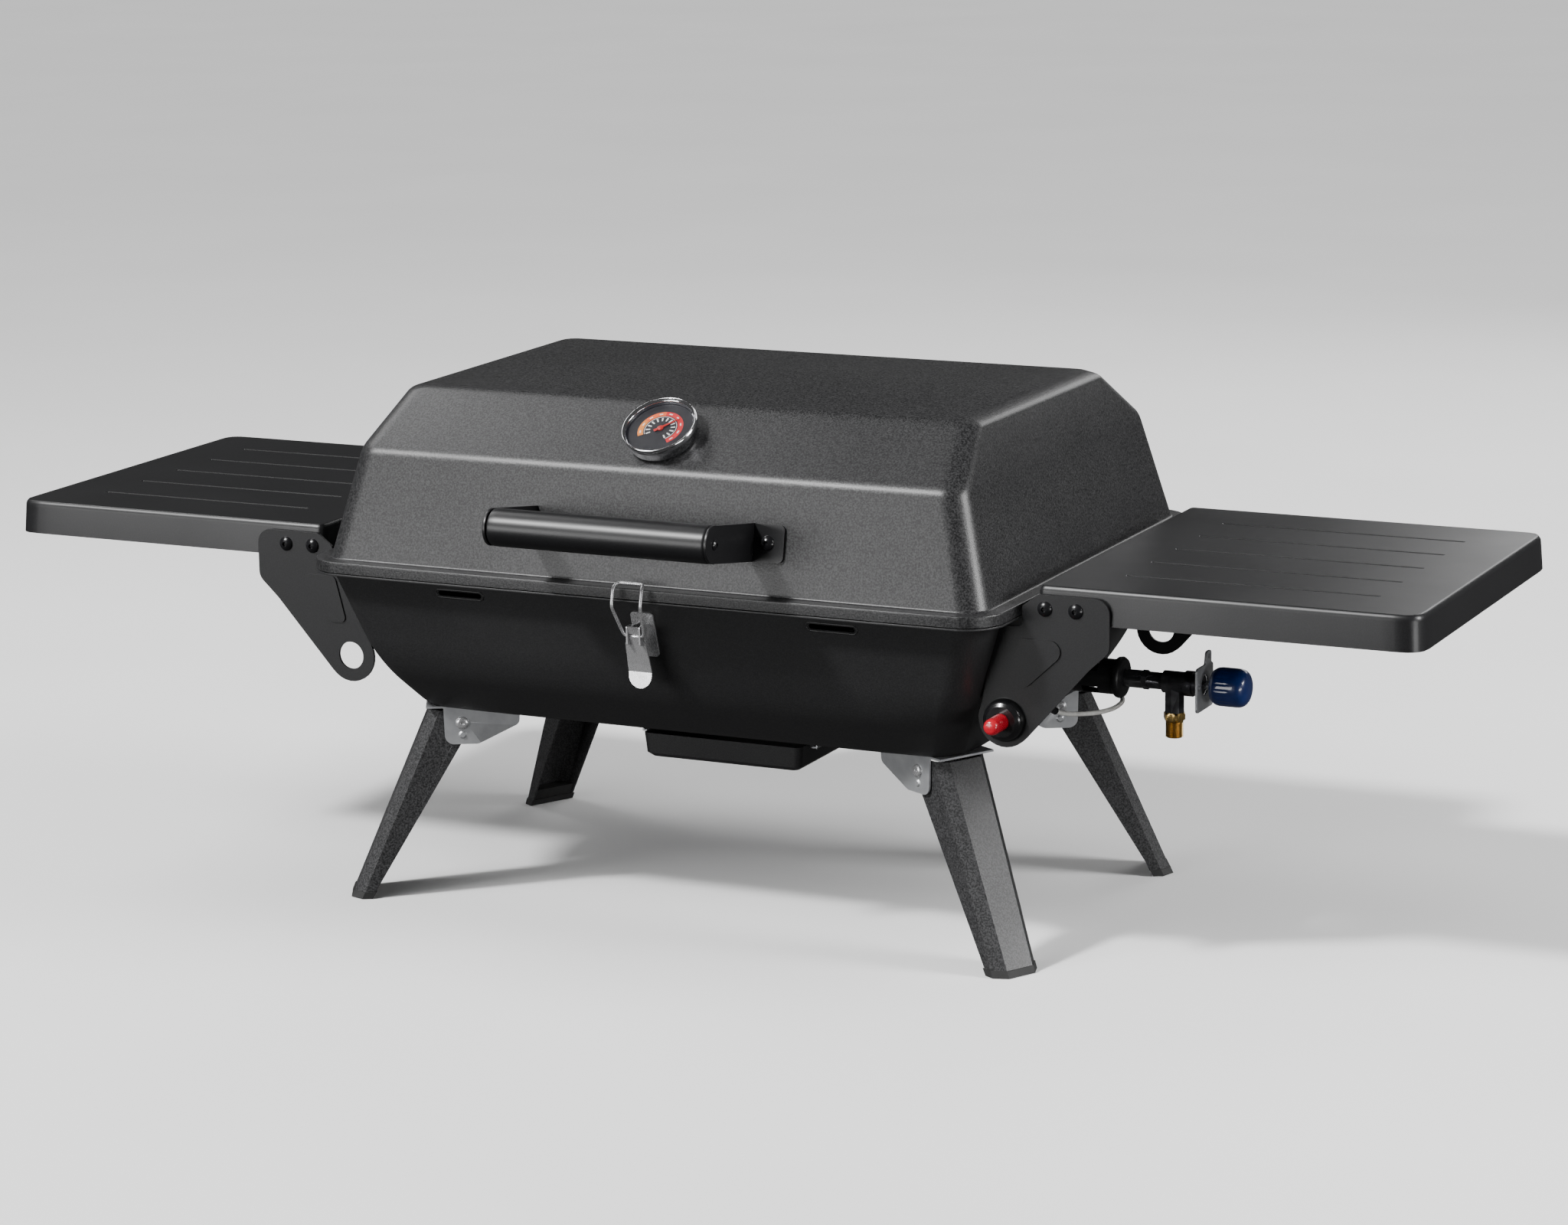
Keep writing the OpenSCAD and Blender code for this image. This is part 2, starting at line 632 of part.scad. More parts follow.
module valve_body() color("#77777a") translate([0, 0, gas_z]) difference() {
    union() {
        translate([valve_x0, 0, 0]) along_x(8.2, valve_x1 - valve_x0);
        translate([valve_x1, 0, 0]) along_x(9.4, 6);
        translate([valve_x1 + 6, 0, 0]) along_x(7.6, plate_x - valve_x1 - 6);
        translate([inlet_x, 0, -22]) cylinder(r = 7.4, h = 22, $fn = 8);
    }
    translate([valve_x1 + 2, 0, 0]) along_x(stem_r + slip, plate_x - valve_x1);
    translate([inlet_x, 0, -23]) cylinder(r = 3, h = 22);
}

module gas_inlet() color("#b5892f") translate([inlet_x, 0, gas_z - 22]) difference() {
    union() {
        translate([0, 0, -6]) cylinder(r = 8.4, h = 6, $fn = 6);
        translate([0, 0, -6 - inlet_l]) cylinder(r = inlet_r, h = inlet_l);
    }
    translate([0, 0, -7 - inlet_l]) cylinder(r = 3, h = inlet_l + 8);
}

module valve_plate() color("#b9babd") translate([0, 0, gas_z]) difference() {
    yz_plate(plate_x, plate_t) difference() {
        polygon(rounded([[-17, -18, 3], [17, -18, 3], [17, 13, 2], [13, 15, 1], [13, 24, 3], [3, 24, 3],
                         [1, 15, 1], [-17, 15, 3]]));
        circle(7.6 + slip);
        translate([8, 20]) circle(1.8);
        for (y = [-12, 12]) translate([y, 0]) circle(2.1);
    }
}

module valve_stem() color("#a5a5a8")
    translate([valve_x1 + 3, 0, gas_z]) along_x(stem_r, knob_x0 + 12 - valve_x1 - 3);

module gas_knob() color("#12265a") translate([knob_x0, 0, gas_z]) difference() {
    rotate([0, 90, 0]) rotate_extrude() polygon([
        [0, 0], [knob_dia / 2 - 2.6, 0], [knob_dia / 2 - 0.6, 3], [knob_dia / 2, 6], [knob_dia / 2, 18],
        for (i = [1:5]) [knob_dia / 2 * cos(i * 15), 18 + (knob_l - 18) * sin(i * 15)],
        [0, knob_l]]);
    translate([-1, 0, 0]) along_x(stem_r, 13);
    // grip flutes
    for (a = [0:11]) rotate([a * 30, 0, 0]) translate([3, 0, knob_dia / 2 + 1.6]) along_x(2.2, 14);
}

// ---- Igniter on the front right arm ----

module igniter_body() color("#121213") translate([ring_x, -arm_y - arm_t, ring_z]) difference() {
    union() {
        rotate([90, 0, 0]) rotate_extrude() polygon([[0, 0], [collar_r, 0], [collar_r, 2.5],
            [collar_r - 1.5, collar_h - 2], [collar_r - 4.5, collar_h], [0, collar_h]]);
        along_y(igniter_r, igniter_l);
        translate([0, igniter_l, 0]) along_y(3, tail_l);
    }
    translate([0, -collar_h - 1, 0]) along_y(button_r + gap, button_root + button_travel + 2);
}

module igniter_nut() color("#242426")
    translate([ring_x, -arm_y + gap, ring_z]) rotate([-90, 0, 0]) difference() {
        cylinder(r = igniter_r + 4, h = 5, $fn = 6);
        translate([0, 0, -1]) cylinder(r = igniter_r + slip, h = 8);
    }

module igniter_button() color("#b3121d") translate([ring_x, -arm_y - arm_t - collar_h, ring_z])
    rotate([90, 0, 0]) translate([0, 0, -button_root]) rotate_extrude()
        polygon([[0, 0], [button_r, 0], [button_r, button_l - 3.6], [button_r - 0.5, button_l - 1.6],
                 [button_r - 2, button_l - 0.4], [0, button_l]]);

// Tube of radius r swept along a list of points, with n sides
function sweep_ring(p, i, r, n) =
    let (k = len(p) - 1,
         t = unit(p[min(i + 1, k)] - p[max(i - 1, 0)]),
         s = unit(cross(t, abs(t.z) < 0.9 ? [0, 0, 1] : [1, 0, 0])),
         w = cross(s, t))
    [for (j = [0:n - 1]) p[i] + r * (cos(360 * j / n) * s + sin(360 * j / n) * w)];
module sweep(p, r, n = 8) {
    k = len(p);
    polyhedron(
        points = [for (i = [0:k - 1]) each sweep_ring(p, i, r, n)],
        faces = [
            [for (j = [0:n - 1]) j],
            for (i = [0:k - 2], j = [0:n - 1]) each [
                [i * n + j, (i + 1) * n + j, (i + 1) * n + (j + 1) % n],
                [i * n + j, (i + 1) * n + (j + 1) % n, i * n + (j + 1) % n]],
            [for (j = [n - 1:-1:0]) (k - 1) * n + j]]);
}

module ignition_lead() color("#e8e6df") sweep(lead_pts, lead_r);

// ---- Grease tray ----

// Solid of the tray drawn in by i: each station is an inset and a height
module tray_shape(i) hull()
    for (s = [[5, 4, i], [1.5, 1, i + 3], [0, 0, tray_h + (i > 0 ? 1 : -eps)]])
        translate([0, tray_y0 + tray_l / 2, tray_z0 + s[2]]) linear_extrude(eps, $fn = 24)
            rounded_rect(tray_w / 2 - i - s[0], tray_l / 2 - i - s[1], 5);

module grease_tray() color("#1b1b1c") {
    difference() { tray_shape(0); tray_shape(tray_t); }
    // side lips that ride in the rails
    lip_x = tray_w / 2 + tray_lip / 2 - 0.6;
    for (s = [-1, 1]) translate([s * lip_x, tray_y0 + tray_l / 2 + 6, tray_z1 - tray_t])
        linear_extrude(tray_t) square([tray_lip, tray_l - 24], center = true);
}

// Folded strips under the pan: a flange on the floor, a web and a ledge under the tray's lip
module tray_rails() color("#8f9194") for (s = [-1, 1]) mirror([s < 0 ? 1 : 0, 0, 0]) {
    top = floor_z - 0.02;
    ledge = tray_z1 - tray_t - 0.5;
    translate([0, tray_y0 + 14, 0]) rotate([90, 0, 180]) mirror([1, 0, 0]) linear_extrude(tray_l - 18)
        polygon([[rail_x, top], [rail_x + 12, top], [rail_x + 12, floor_z - 1.5],
                 [rail_x + 1.2, floor_z - 1.5], [rail_x + 1.2, ledge - 1.2],
                 [rail_x - 4.5, ledge - 1.2], [rail_x - 4.5, ledge], [rail_x, ledge]]);
}

// ---- Rear hinges ----

// Where a piece stands clear of the pan's back wall at a height
function pan_back(z) = half_d - wall_in(z) + slip;

module at_hinges() for (s = [-1, 1]) translate([s * hinge_x, 0, 0]) children();

module pan_hinge_leaves() color("#232324") at_hinges() difference() {
    z1 = hinge_z - 7.5;
    z2 = hinge_z - 34;
    union() {
        for (s = [-1, 1]) translate([s > 0 ? hinge_w / 2 - knuckle : -hinge_w / 2, hinge_y, hinge_z]) {
            along_x(hinge_r, knuckle);
            translate([0, -hinge_r, -9]) cube([knuckle, leaf_t, 9]);
        }
        translate([-hinge_w / 2, 0, 0]) rotate([90, 0, 90]) linear_extrude(hinge_w) polygon([
            [hinge_y - hinge_r, z1], [hinge_y - hinge_r + leaf_t, z1],
            [hinge_y - hinge_r + leaf_t, z1 - leaf_t], [pan_back(z1 - leaf_t) + leaf_t, z1 - leaf_t],
            [pan_back(z2) + leaf_t, z2], [pan_back(z2), z2], [pan_back(z1), z1]]);
    }
    translate([-hinge_w / 2 - 1, hinge_y, hinge_z]) along_x(hinge_pin_r, hinge_w + 2);
}

module lid_hinge_leaves() color("#232324") at_hinges() difference() {
    w = hinge_w - 2 * knuckle - 2 * gap;
    y1 = lip_d + 0.05;
    yw = -lid_front(lid_z1) + 0.05;
    yb = -lid_front(lid_z1 + leaf_t + 0.05) + 0.05;
    yt = -lid_front(lid_z1 + 27) + 0.05;
    union() {
        translate([-w / 2, hinge_y, hinge_z]) along_x(hinge_r, w);
        translate([-w / 2, y1, hinge_z]) cube([w, hinge_y - y1, leaf_t]);
        translate([-hinge_w / 2, 0, 0]) rotate([90, 0, 90]) linear_extrude(hinge_w) polygon([
            [y1, hinge_z + 0.6], [y1 + leaf_t, hinge_z + 0.6], [y1 + leaf_t, lid_z1 + leaf_t + 0.05],
            [yb + leaf_t, lid_z1 + leaf_t + 0.05],
            [yt + leaf_t, lid_z1 + 27], [yt, lid_z1 + 27],
            [yw, lid_z1 + 0.05], [y1, lid_z1 + 0.05]]);
    }
    translate([-hinge_w / 2 - 1, hinge_y, hinge_z]) along_x(hinge_pin_r + slip, hinge_w + 2);
}

module hinge_pins() color("silver") at_hinges() translate([-hinge_w / 2 - 1.5, hinge_y, hinge_z]) {
    along_x(hinge_pin_r, hinge_w + 3);
    along_x(2.6, 1.4);
    translate([hinge_w + 1.6, 0, 0]) along_x(2.6, 1.4);
}

// Domed rivet head standing on a face, axis along +z
module rivet(r = 3.2) rotate_extrude()
    polygon([[0, 0], [r, 0], [r * 0.85, r * 0.3], [r * 0.5, r * 0.5], [0, r * 0.55]]);

module pan_rivets() color("#2a2a2b") {
    lean = atan(wall_lean);
    leaf_z = hinge_z - 22;
    at_hinges() for (s = [-1, 1]) translate([s * 12, half_d - wall_in(leaf_z) + leaf_t + 0.1, leaf_z])
        rotate([-90 - lean, 0, 0]) rivet();
    for (x = [-1, 1], y = [-1, 1], z = [ring_z + 22, ring_z + 52])
        translate([x * (half_l - wall_in(z) + arm_t + 0.05), y * (arm_y - 9), z])
            rotate([0, x * (90 + lean), 0]) rivet(2.6);
}

module lid_rivets() color("#2a2a2b") at_hinges() for (s = [-1, 1])
    translate([s * 12, -lid_front(lid_z1 + 15) + leaf_t + 0.1, lid_z1 + 15])
        rotate([-90 + atan(lid_wall_tan), 0, 0]) rivet();

// ---- Latch ----

module latch_base() color("#b8babd") difference() {
    y = -(half_d - wall_in(latch_z));
    lean = atan(wall_lean);
    union() {
        translate([0, y, latch_z]) rotate([lean, 0, 0]) translate([0, -1.55, 0]) difference() {
            xz_plate(0, 1.5) polygon(rounded([[-9, -24, 3], [9, -24, 3], [9, 11, 2], [-9, 11, 2]]));
        }
        for (s = [-1, 1]) translate([s * 3.4 - 0.75, 0, 0]) rotate([90, 0, 90]) linear_extrude(1.5)
            polygon(rounded([[y - 1.9, latch_z + 2.4, 0.5], [latch_y - 3, latch_z + 3, 2.8],
                             [latch_y - 3, latch_z - 3.4, 3], [y + 0.5, latch_z - 9, 1]]));
    }
    translate([-6, latch_y, latch_z]) along_x(latch_pin_r, 12);
    pan_outer(0.02);
}

module latch_pin() color("silver") translate([-6.6, latch_y, latch_z]) {
    along_x(latch_pin_r, 13.2);
    along_x(2.4, 0.8);
    translate([12.4, 0, 0]) along_x(2.4, 0.8);
}

// Lever plate in the XZ plane, narrow at the hook and wide towards the thumb tip, which is bent
// outwards below bend_z
module lever_outline() polygon(rounded([
    [-5, 5.5, 1.5], [5, 5.5, 1.5], [5.2, -3, 1], [8.2, -8, 2], [9.25, -28, 4], [9, -38, 8],
    [0, -43.5, 9], [-9, -38, 8], [-9.25, -28, 4], [-8.2, -8, 2], [-5.2, -3, 1]]));

module lever_plate() intersection() {
    bend_z = -31;
    xz_plate(-14, 20) lever_outline();
    yz_plate(-12, 24) polygon([[0, 8], [1.2, 8], [1.2, bend_z - 0.2], [-5.2, -46], [-6.4, -46],
                               [0, bend_z]]);
}

module latch_lever() color("#d0d2d4") difference() {
    lean = atan(wall_lean);
    union() {
        translate([0, latch_y - 3, latch_z]) rotate([lean, 0, 0]) translate([0, -2.6, -2])
            lever_plate();
        for (s = [-1, 1]) translate([s * 5.1 - 0.6, 0, 0]) rotate([90, 0, 90]) linear_extrude(1.2)
            polygon(rounded([[latch_y - 6.5, latch_z + 3, 1], [latch_y + 2, latch_z + 3, 2],
                             [latch_y + 2.6, latch_z - 3, 2], [latch_y - 3.4, latch_z - 11, 1],
                             [latch_y - 6, latch_z - 11, 1]]));
    }
    translate([-8, latch_y, latch_z]) along_x(latch_pin_r + slip, 16);
    translate([-8, bail_y, bail_z]) along_x(wire_r + slip, 16);
}

// Bail: a wire loop from one side of the lever over the lid's lip to the other side
module latch_bail() color("#d8dadb") {
    half = [
        [4.6, bail_y, bail_z], [7.6, bail_y, bail_z], [8.8, bail_y - 1.6, bail_z + 4],
        [11.5, bail_y - 12, bail_z + 22.5], [11.5, bail_y - 12, bail_z + 24],
        [11.5, bail_y - 8.6, bar_z - 2.5], [11.2, bail_y - 6.5, bar_z - 0.4], [9.5, bar_y, bar_z],
        [8, bar_y, bar_z]];
    other = [for (i = [len(half) - 1:-1:0]) [-half[i].x, half[i].y, half[i].z]];
    sweep(concat(half, other), wire_r, 8);
}

// ---- Lid ----

module lid() color("#3a3a3b") difference() {
    union() {
        difference() {
            tub(lid_stations);
            tub([for (i = [0:4]) lid_stations[i] + [0, 0, i == 0 ? -2 : -sheet, 0]], sheet);
        }
        ring_band(lip_l, lip_d, corner_r + lip_out, lip_out + 0.8, lid_z1 - sheet, sheet);
        ring_band(lip_l, lip_d, corner_r + lip_out, sheet, lid_z0, lip_h);
    }
    // gauge stem and handle screws pass through
    on_gauge() translate([0, 0, -10]) cylinder(r = gauge_stem_r + slip, h = 20);
    for (s = [-1, 1]) on_flange(s * (strap_x + 12)) translate([0, -5, 0]) along_y(bolt_r + slip, 12);
}

// ---- Handle ----

module handle_tube() color("#161617") translate([-handle_l / 2, handle_y, handle_z]) difference() {
    along_x(handle_dia / 2, handle_l);
    for (x = [-1, handle_l - 9]) translate([x, 0, 0]) along_x(2, 10);
}

// Place a child on the lid's front wall at the handle's flanges, y = 0 being the wall
module on_flange(x) translate([x, lid_front(handle_flange_z) - 0.05, handle_flange_z])
    rotate([-atan(lid_wall_tan), 0, 0]) children();

module handle_bracket() {
    y1 = lid_front(handle_flange_z) - 1.05;
    half_w = strap_w / 2;
    lean = half_w * lid_wall_tan;
    difference() {
        union() {
            yz_plate(handle_l / 2 + 0.05, strap_t) union() {
                translate([handle_y, handle_z]) circle(half_w);
                polygon([[handle_y, handle_z - half_w], [y1 - lean, handle_flange_z - half_w],
                         [y1 + lean, handle_flange_z + half_w], [handle_y, handle_z + half_w]]);
            }
            on_flange(handle_l / 2 + 0.05)
                translate([0, -strap_t, -strap_w / 2]) difference() {
                    cube([flange_l, strap_t, strap_w]);
                    for (z = [0, strap_w]) translate([flange_l, -1, z]) rotate([-90, 0, 0]) difference() {
                        translate([-4, -4, 0]) cube([8, 8, 5]);
                        translate([-4, z > 0 ? 4 : -4, -1]) cylinder(r = 4, h = 7);
                    }
                }
        }
        translate([handle_l / 2 - 1, handle_y, handle_z]) along_x(2, 5);
        on_flange(strap_x + 12) translate([0, -5, 0]) along_y(bolt_r + slip, 12);
    }
}
module handle_bracket_right() color("#161617") handle_bracket();
module handle_bracket_left() color("#161617") mirror([1, 0, 0]) handle_bracket();

module handle_screws() color("#3c3c3e") for (s = [0, 1]) mirror([s, 0, 0]) {
    translate([handle_l / 2 + strap_t + 0.05, handle_y, handle_z]) rotate([0, 90, 0]) button_head(4, 2.2);
    translate([handle_l / 2 - 8, handle_y, handle_z]) along_x(2, strap_t + 8 + 0.05);
    on_flange(strap_x + 12) translate([0, -strap_t - 0.05, 0]) {
        rotate([90, 0, 0]) button_head(bolt_head_r, bolt_head_h);
        along_y(bolt_r, strap_t + 8);
    }
}

// ---- Thermometer, drawn on its own axis ----

module on_gauge() translate([0, gauge_y, gauge_z]) rotate([gauge_lean, 0, 0]) children();

module gauge_case() color("#c9cacc") on_gauge() difference() {
    union() {
        translate([0, 0, 0.1]) rotate_extrude() polygon([
            [0, 0], [gauge_r - 5, 0], [gauge_r - 3, 1.5], [gauge_r - 2.5, gauge_h - 6],
            [gauge_r, gauge_h - 5], [gauge_r, gauge_h - 1.2], [gauge_r - 0.8, gauge_h - 0.2],
            [gauge_r - 2.4, gauge_h - 0.4], [0, gauge_h - 0.4]]);
        translate([0, 0, -24]) cylinder(r = gauge_stem_r, h = 25);
    }
    translate([0, 0, gauge_h - 6]) cylinder(r = gauge_r - 3, h = 8);
}

module gauge_dial() color("#17181a")
    on_gauge() translate([0, 0, gauge_h - 5.98]) cylinder(r = gauge_r - 3.05, h = 0.8);

module gauge_needle() color("#d22b20") on_gauge() translate([0, 0, gauge_h - 5.1]) rotate([0, 0, 40]) {
    cylinder(r = 2.4, h = 1.6);
    translate([0, 0, 0.5]) linear_extrude(0.5)
        polygon([[-1.2, -5], [1.2, -5], [0.35, gauge_r - 9], [-0.35, gauge_r - 9]]);
}

module gauge_glass() color("#dfe8ee", 0.3)
    on_gauge() translate([0, 0, gauge_h - 2.6]) cylinder(r = gauge_r - 3.05, h = 1.4);

module gauge_nut() color("#b6b7b9") on_gauge() translate([0, 0, -slope_t - nut_h - 0.1]) difference() {
    cylinder(r = 8, h = nut_h, $fn = 6);
    translate([0, 0, -1]) cylinder(r = gauge_stem_r + 0.02, h = 8);
}

// ---- Placing ----

module placed() translate([0, frame_y, 0]) children();

module side_arm_at(sx, sy) color("#1d1d1e")
    mirror([sx < 0 ? 1 : 0, 0, 0]) mirror([0, sy > 0 ? 1 : 0, 0]) side_arm();
module bracket_at(sx, sy) color("#b9babd") at_leg(sx, sy) leg_bracket();
module leg_at(sx, sy) color("#3b3b3d") at_leg(sx, sy) leg();
module foot_at(sx, sy) color("#101010") at_leg(sx, sy) foot();

placed() pan();
placed() side_arm_at(-1, -1);  // side_arm_front_left
placed() side_arm_at(1, -1);  // side_arm_front_right
placed() side_arm_at(-1, 1);  // side_arm_rear_left
placed() side_arm_at(1, 1);  // side_arm_rear_right
placed() shelf_bolts();
placed() bracket_at(-1, -1);  // leg_bracket_front_left
placed() bracket_at(1, -1);  // leg_bracket_front_right
placed() bracket_at(-1, 1);  // leg_bracket_rear_left
placed() bracket_at(1, 1);  // leg_bracket_rear_right
placed() leg_pivot_pins();
placed() burner();
placed() flame_tamers();
placed() cooking_grate();
placed() grate_supports();
placed() venturi_cup();
placed() gas_injector();
placed() valve_body();
placed() gas_inlet();
placed() valve_plate();
placed() valve_stem();
placed() gas_knob();
placed() igniter_body();
placed() igniter_nut();
placed() igniter_button();
placed() ignition_lead();
placed() spark_electrode();
placed() electrode_ceramic();
placed() tray_rails();
placed() grease_tray();
placed() pan_hinge_leaves();
placed() hinge_pins();
placed() pan_rivets();
placed() latch_base();
placed() latch_pin();
placed() latch_lever();
placed() latch_bail();
placed() lid();
placed() lid_hinge_leaves();
placed() lid_rivets();
placed() handle_tube();
placed() handle_bracket_left();
placed() handle_bracket_right();
placed() handle_screws();
placed() gauge_case();
placed() gauge_dial();
placed() gauge_needle();
placed() gauge_glass();
placed() gauge_nut();
placed() shelf_left();
placed() shelf_right();
placed() leg_at(-1, -1);  // leg_front_left
placed() leg_at(1, -1);  // leg_front_right
placed() leg_at(-1, 1);  // leg_rear_left
placed() leg_at(1, 1);  // leg_rear_right
placed() foot_at(-1, -1);  // foot_front_left
placed() foot_at(1, -1);  // foot_front_right
placed() foot_at(-1, 1);  // foot_rear_left
placed() foot_at(1, 1);  // foot_rear_right
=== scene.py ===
"""Looks of a portable gas barbecue grill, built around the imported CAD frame. Metres throughout."""

import json
import math

import bmesh
import bpy
from mathutils import Matrix, Vector


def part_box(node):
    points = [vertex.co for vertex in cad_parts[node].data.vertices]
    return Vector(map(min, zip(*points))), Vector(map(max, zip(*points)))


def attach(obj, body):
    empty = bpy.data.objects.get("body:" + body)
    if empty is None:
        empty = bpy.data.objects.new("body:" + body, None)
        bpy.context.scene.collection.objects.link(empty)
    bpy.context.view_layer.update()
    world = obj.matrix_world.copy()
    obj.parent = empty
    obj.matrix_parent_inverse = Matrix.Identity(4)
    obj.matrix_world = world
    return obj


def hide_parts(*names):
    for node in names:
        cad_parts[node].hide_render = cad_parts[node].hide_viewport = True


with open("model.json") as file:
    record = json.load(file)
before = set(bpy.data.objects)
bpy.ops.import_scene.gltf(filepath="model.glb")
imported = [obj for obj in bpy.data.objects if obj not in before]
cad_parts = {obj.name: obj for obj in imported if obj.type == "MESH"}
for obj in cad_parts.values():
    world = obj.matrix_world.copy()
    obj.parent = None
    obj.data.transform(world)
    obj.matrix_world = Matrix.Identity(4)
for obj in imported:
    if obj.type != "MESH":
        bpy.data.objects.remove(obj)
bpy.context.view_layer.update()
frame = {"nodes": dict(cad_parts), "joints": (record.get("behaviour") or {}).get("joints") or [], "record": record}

MM = 0.001
SLOT_OF = {s["node"]: s["material_slot"] for s in frame["record"]["subparts"]}
BODY_OF = {n: b for b, names in frame["record"]["behaviour"]["bodies"].items() for n in names}
JOINT = {j["name"]: j for j in frame["joints"]}

# ---------------------------------------------------------------- materials


class Nodes:
    """A material's node tree with short calls for the nodes that this script uses."""

    def __init__(self, name):
        self.material = bpy.data.materials.new(name)
        self.material.use_nodes = True
        self.tree = self.material.node_tree
        self.shader = self.tree.nodes["Principled BSDF"]
        self.coords = self.tree.nodes.new("ShaderNodeTexCoord").outputs["Object"]

    def add(self, kind, **values):
        node = self.tree.nodes.new("ShaderNode" + kind)
        for key, value in values.items():
            setattr(node, key, value)
        return node

    def link(self, output, target):
        self.tree.links.new(output, target)

    def stretched(self, scale):
        """Object coordinates multiplied by a vector, for brushed or drawn grain."""
        mapping = self.add("Mapping")
        mapping.inputs["Scale"].default_value = scale
        self.link(self.coords, mapping.inputs["Vector"])
        return mapping.outputs["Vector"]

    def noise(self, size, detail=2.0, vector=None):
        """Noise from 0 to 1 whose grains are about size metres across."""
        node = self.add("TexNoise")
        node.inputs["Scale"].default_value = 1.0 / size
        node.inputs["Detail"].default_value = detail
        self.link(vector or self.coords, node.inputs["Vector"])
        return node.outputs["Fac"]

    def spread(self, value, low, high, start=0.3, end=0.7):
        """Maps noise between start and end to low and high."""
        node = self.add("MapRange")
        for key, number in (("From Min", start), ("From Max", end), ("To Min", low), ("To Max", high)):
            node.inputs[key].default_value = number
        self.link(value, node.inputs["Value"])
        return node.outputs["Result"]

    def blend(self, share, first, second):
        """A colour between two colours or colour outputs."""
        node = self.add("Mix", data_type="RGBA")
        self.link(share, node.inputs["Factor"])
        for value, key in ((first, 6), (second, 7)):
            if isinstance(value, tuple):
                node.inputs[key].default_value = (*value, 1.0)
            else:
                self.link(value, node.inputs[key])
        return node.outputs[2]

    def bump(self, heights):
        """Stacks bumps, each a value, a depth in metres and a strength, and links the last."""
        normal = None
        for value, depth, strength in heights:
            node = self.add("Bump")
            node.inputs["Distance"].default_value = depth
            node.inputs["Strength"].default_value = strength
            self.link(value, node.inputs["Height"])
            if normal:
                self.link(normal, node.inputs["Normal"])
            normal = node.outputs["Normal"]
        self.link(normal, self.shader.inputs["Normal"])

    def set(self, **values):
        for key, value in values.items():
            self.shader.inputs[key.replace("_", " ")].default_value = value
        return self.material


COAT_SPECULAR, GLASS_SPECULAR, GLASS_ALPHA = 0.4, 0.8, 0.10
COAT_UNEVEN, COAT_WAVE, WAVE_DEPTH = 90 * MM, 14 * MM, 0.15 * MM
STEEL_GRAIN, STEEL_BLOTCH, STAIN_SHADE = 0.6 * MM, 9 * MM, 0.82
PLASTIC_BLOTCH, GLOSS_ROUGHNESS, GLASS_SMEAR = 6 * MM, 0.06, 20 * MM


def coat(name, dark, light, roughness, grain, depth):
    """Powder coat or enamel: fine grain in colour and bump, with broad uneven gloss."""
    n = Nodes(name)
    fine = n.noise(grain, 3.0)
    broad = n.noise(COAT_UNEVEN, 3.0)
    colour = n.blend(n.spread(fine, 0, 1, 0.38, 0.66), dark, light)
    n.link(colour, n.shader.inputs["Base Color"])
    n.link(n.spread(broad, roughness - 0.03, roughness + 0.04), n.shader.inputs["Roughness"])
    n.bump([(fine, depth, 0.6), (n.noise(COAT_WAVE, 1.0), WAVE_DEPTH, 0.08)])
    return n.set(Specular_IOR_Level=COAT_SPECULAR)


def steel(name, colour, stain, roughness, along, depth, metal):
    """Metal with drawn lines along an axis, blotches of a stain, and a share of bare metal."""
    n = Nodes(name)
    lines = n.noise(STEEL_GRAIN, 3.0, n.stretched(along))
    blotch = n.noise(STEEL_BLOTCH, 4.0)
    second = stain or tuple(c * STAIN_SHADE for c in colour)
    n.link(n.blend(n.spread(blotch, 0, 1), colour, second), n.shader.inputs["Base Color"])
    n.link(n.spread(lines, roughness - 0.07, roughness + 0.09), n.shader.inputs["Roughness"])
    n.bump([(lines, depth, 0.35)])
    return n.set(Metallic=metal)


def plastic(name, colour, roughness, gloss, grain, depth):
    """Moulded plastic or rubber with a faint skin grain and uneven gloss."""
    n = Nodes(name)
    fine = n.noise(grain, 2.0)
    lighter = tuple(min(1.0, c * 1.25 + 0.004) for c in colour)
    n.link(n.blend(n.spread(n.noise(PLASTIC_BLOTCH), 0, 1), colour, lighter), n.shader.inputs["Base Color"])
    n.link(n.spread(fine, roughness - 0.03, roughness + 0.05), n.shader.inputs["Roughness"])
    n.bump([(fine, depth, 0.4)])
    return n.set(Coat_Weight=gloss, Coat_Roughness=GLOSS_ROUGHNESS)


def glass():
    """Clear disc that keeps only a tint and its gloss."""
    n = Nodes("gauge_glass")
    n.link(n.spread(n.noise(GLASS_SMEAR), 0.01, 0.04), n.shader.inputs["Roughness"])
    return n.set(Alpha=GLASS_ALPHA, Base_Color=(0.02, 0.02, 0.03, 1.0), Specular_IOR_Level=GLASS_SPECULAR)


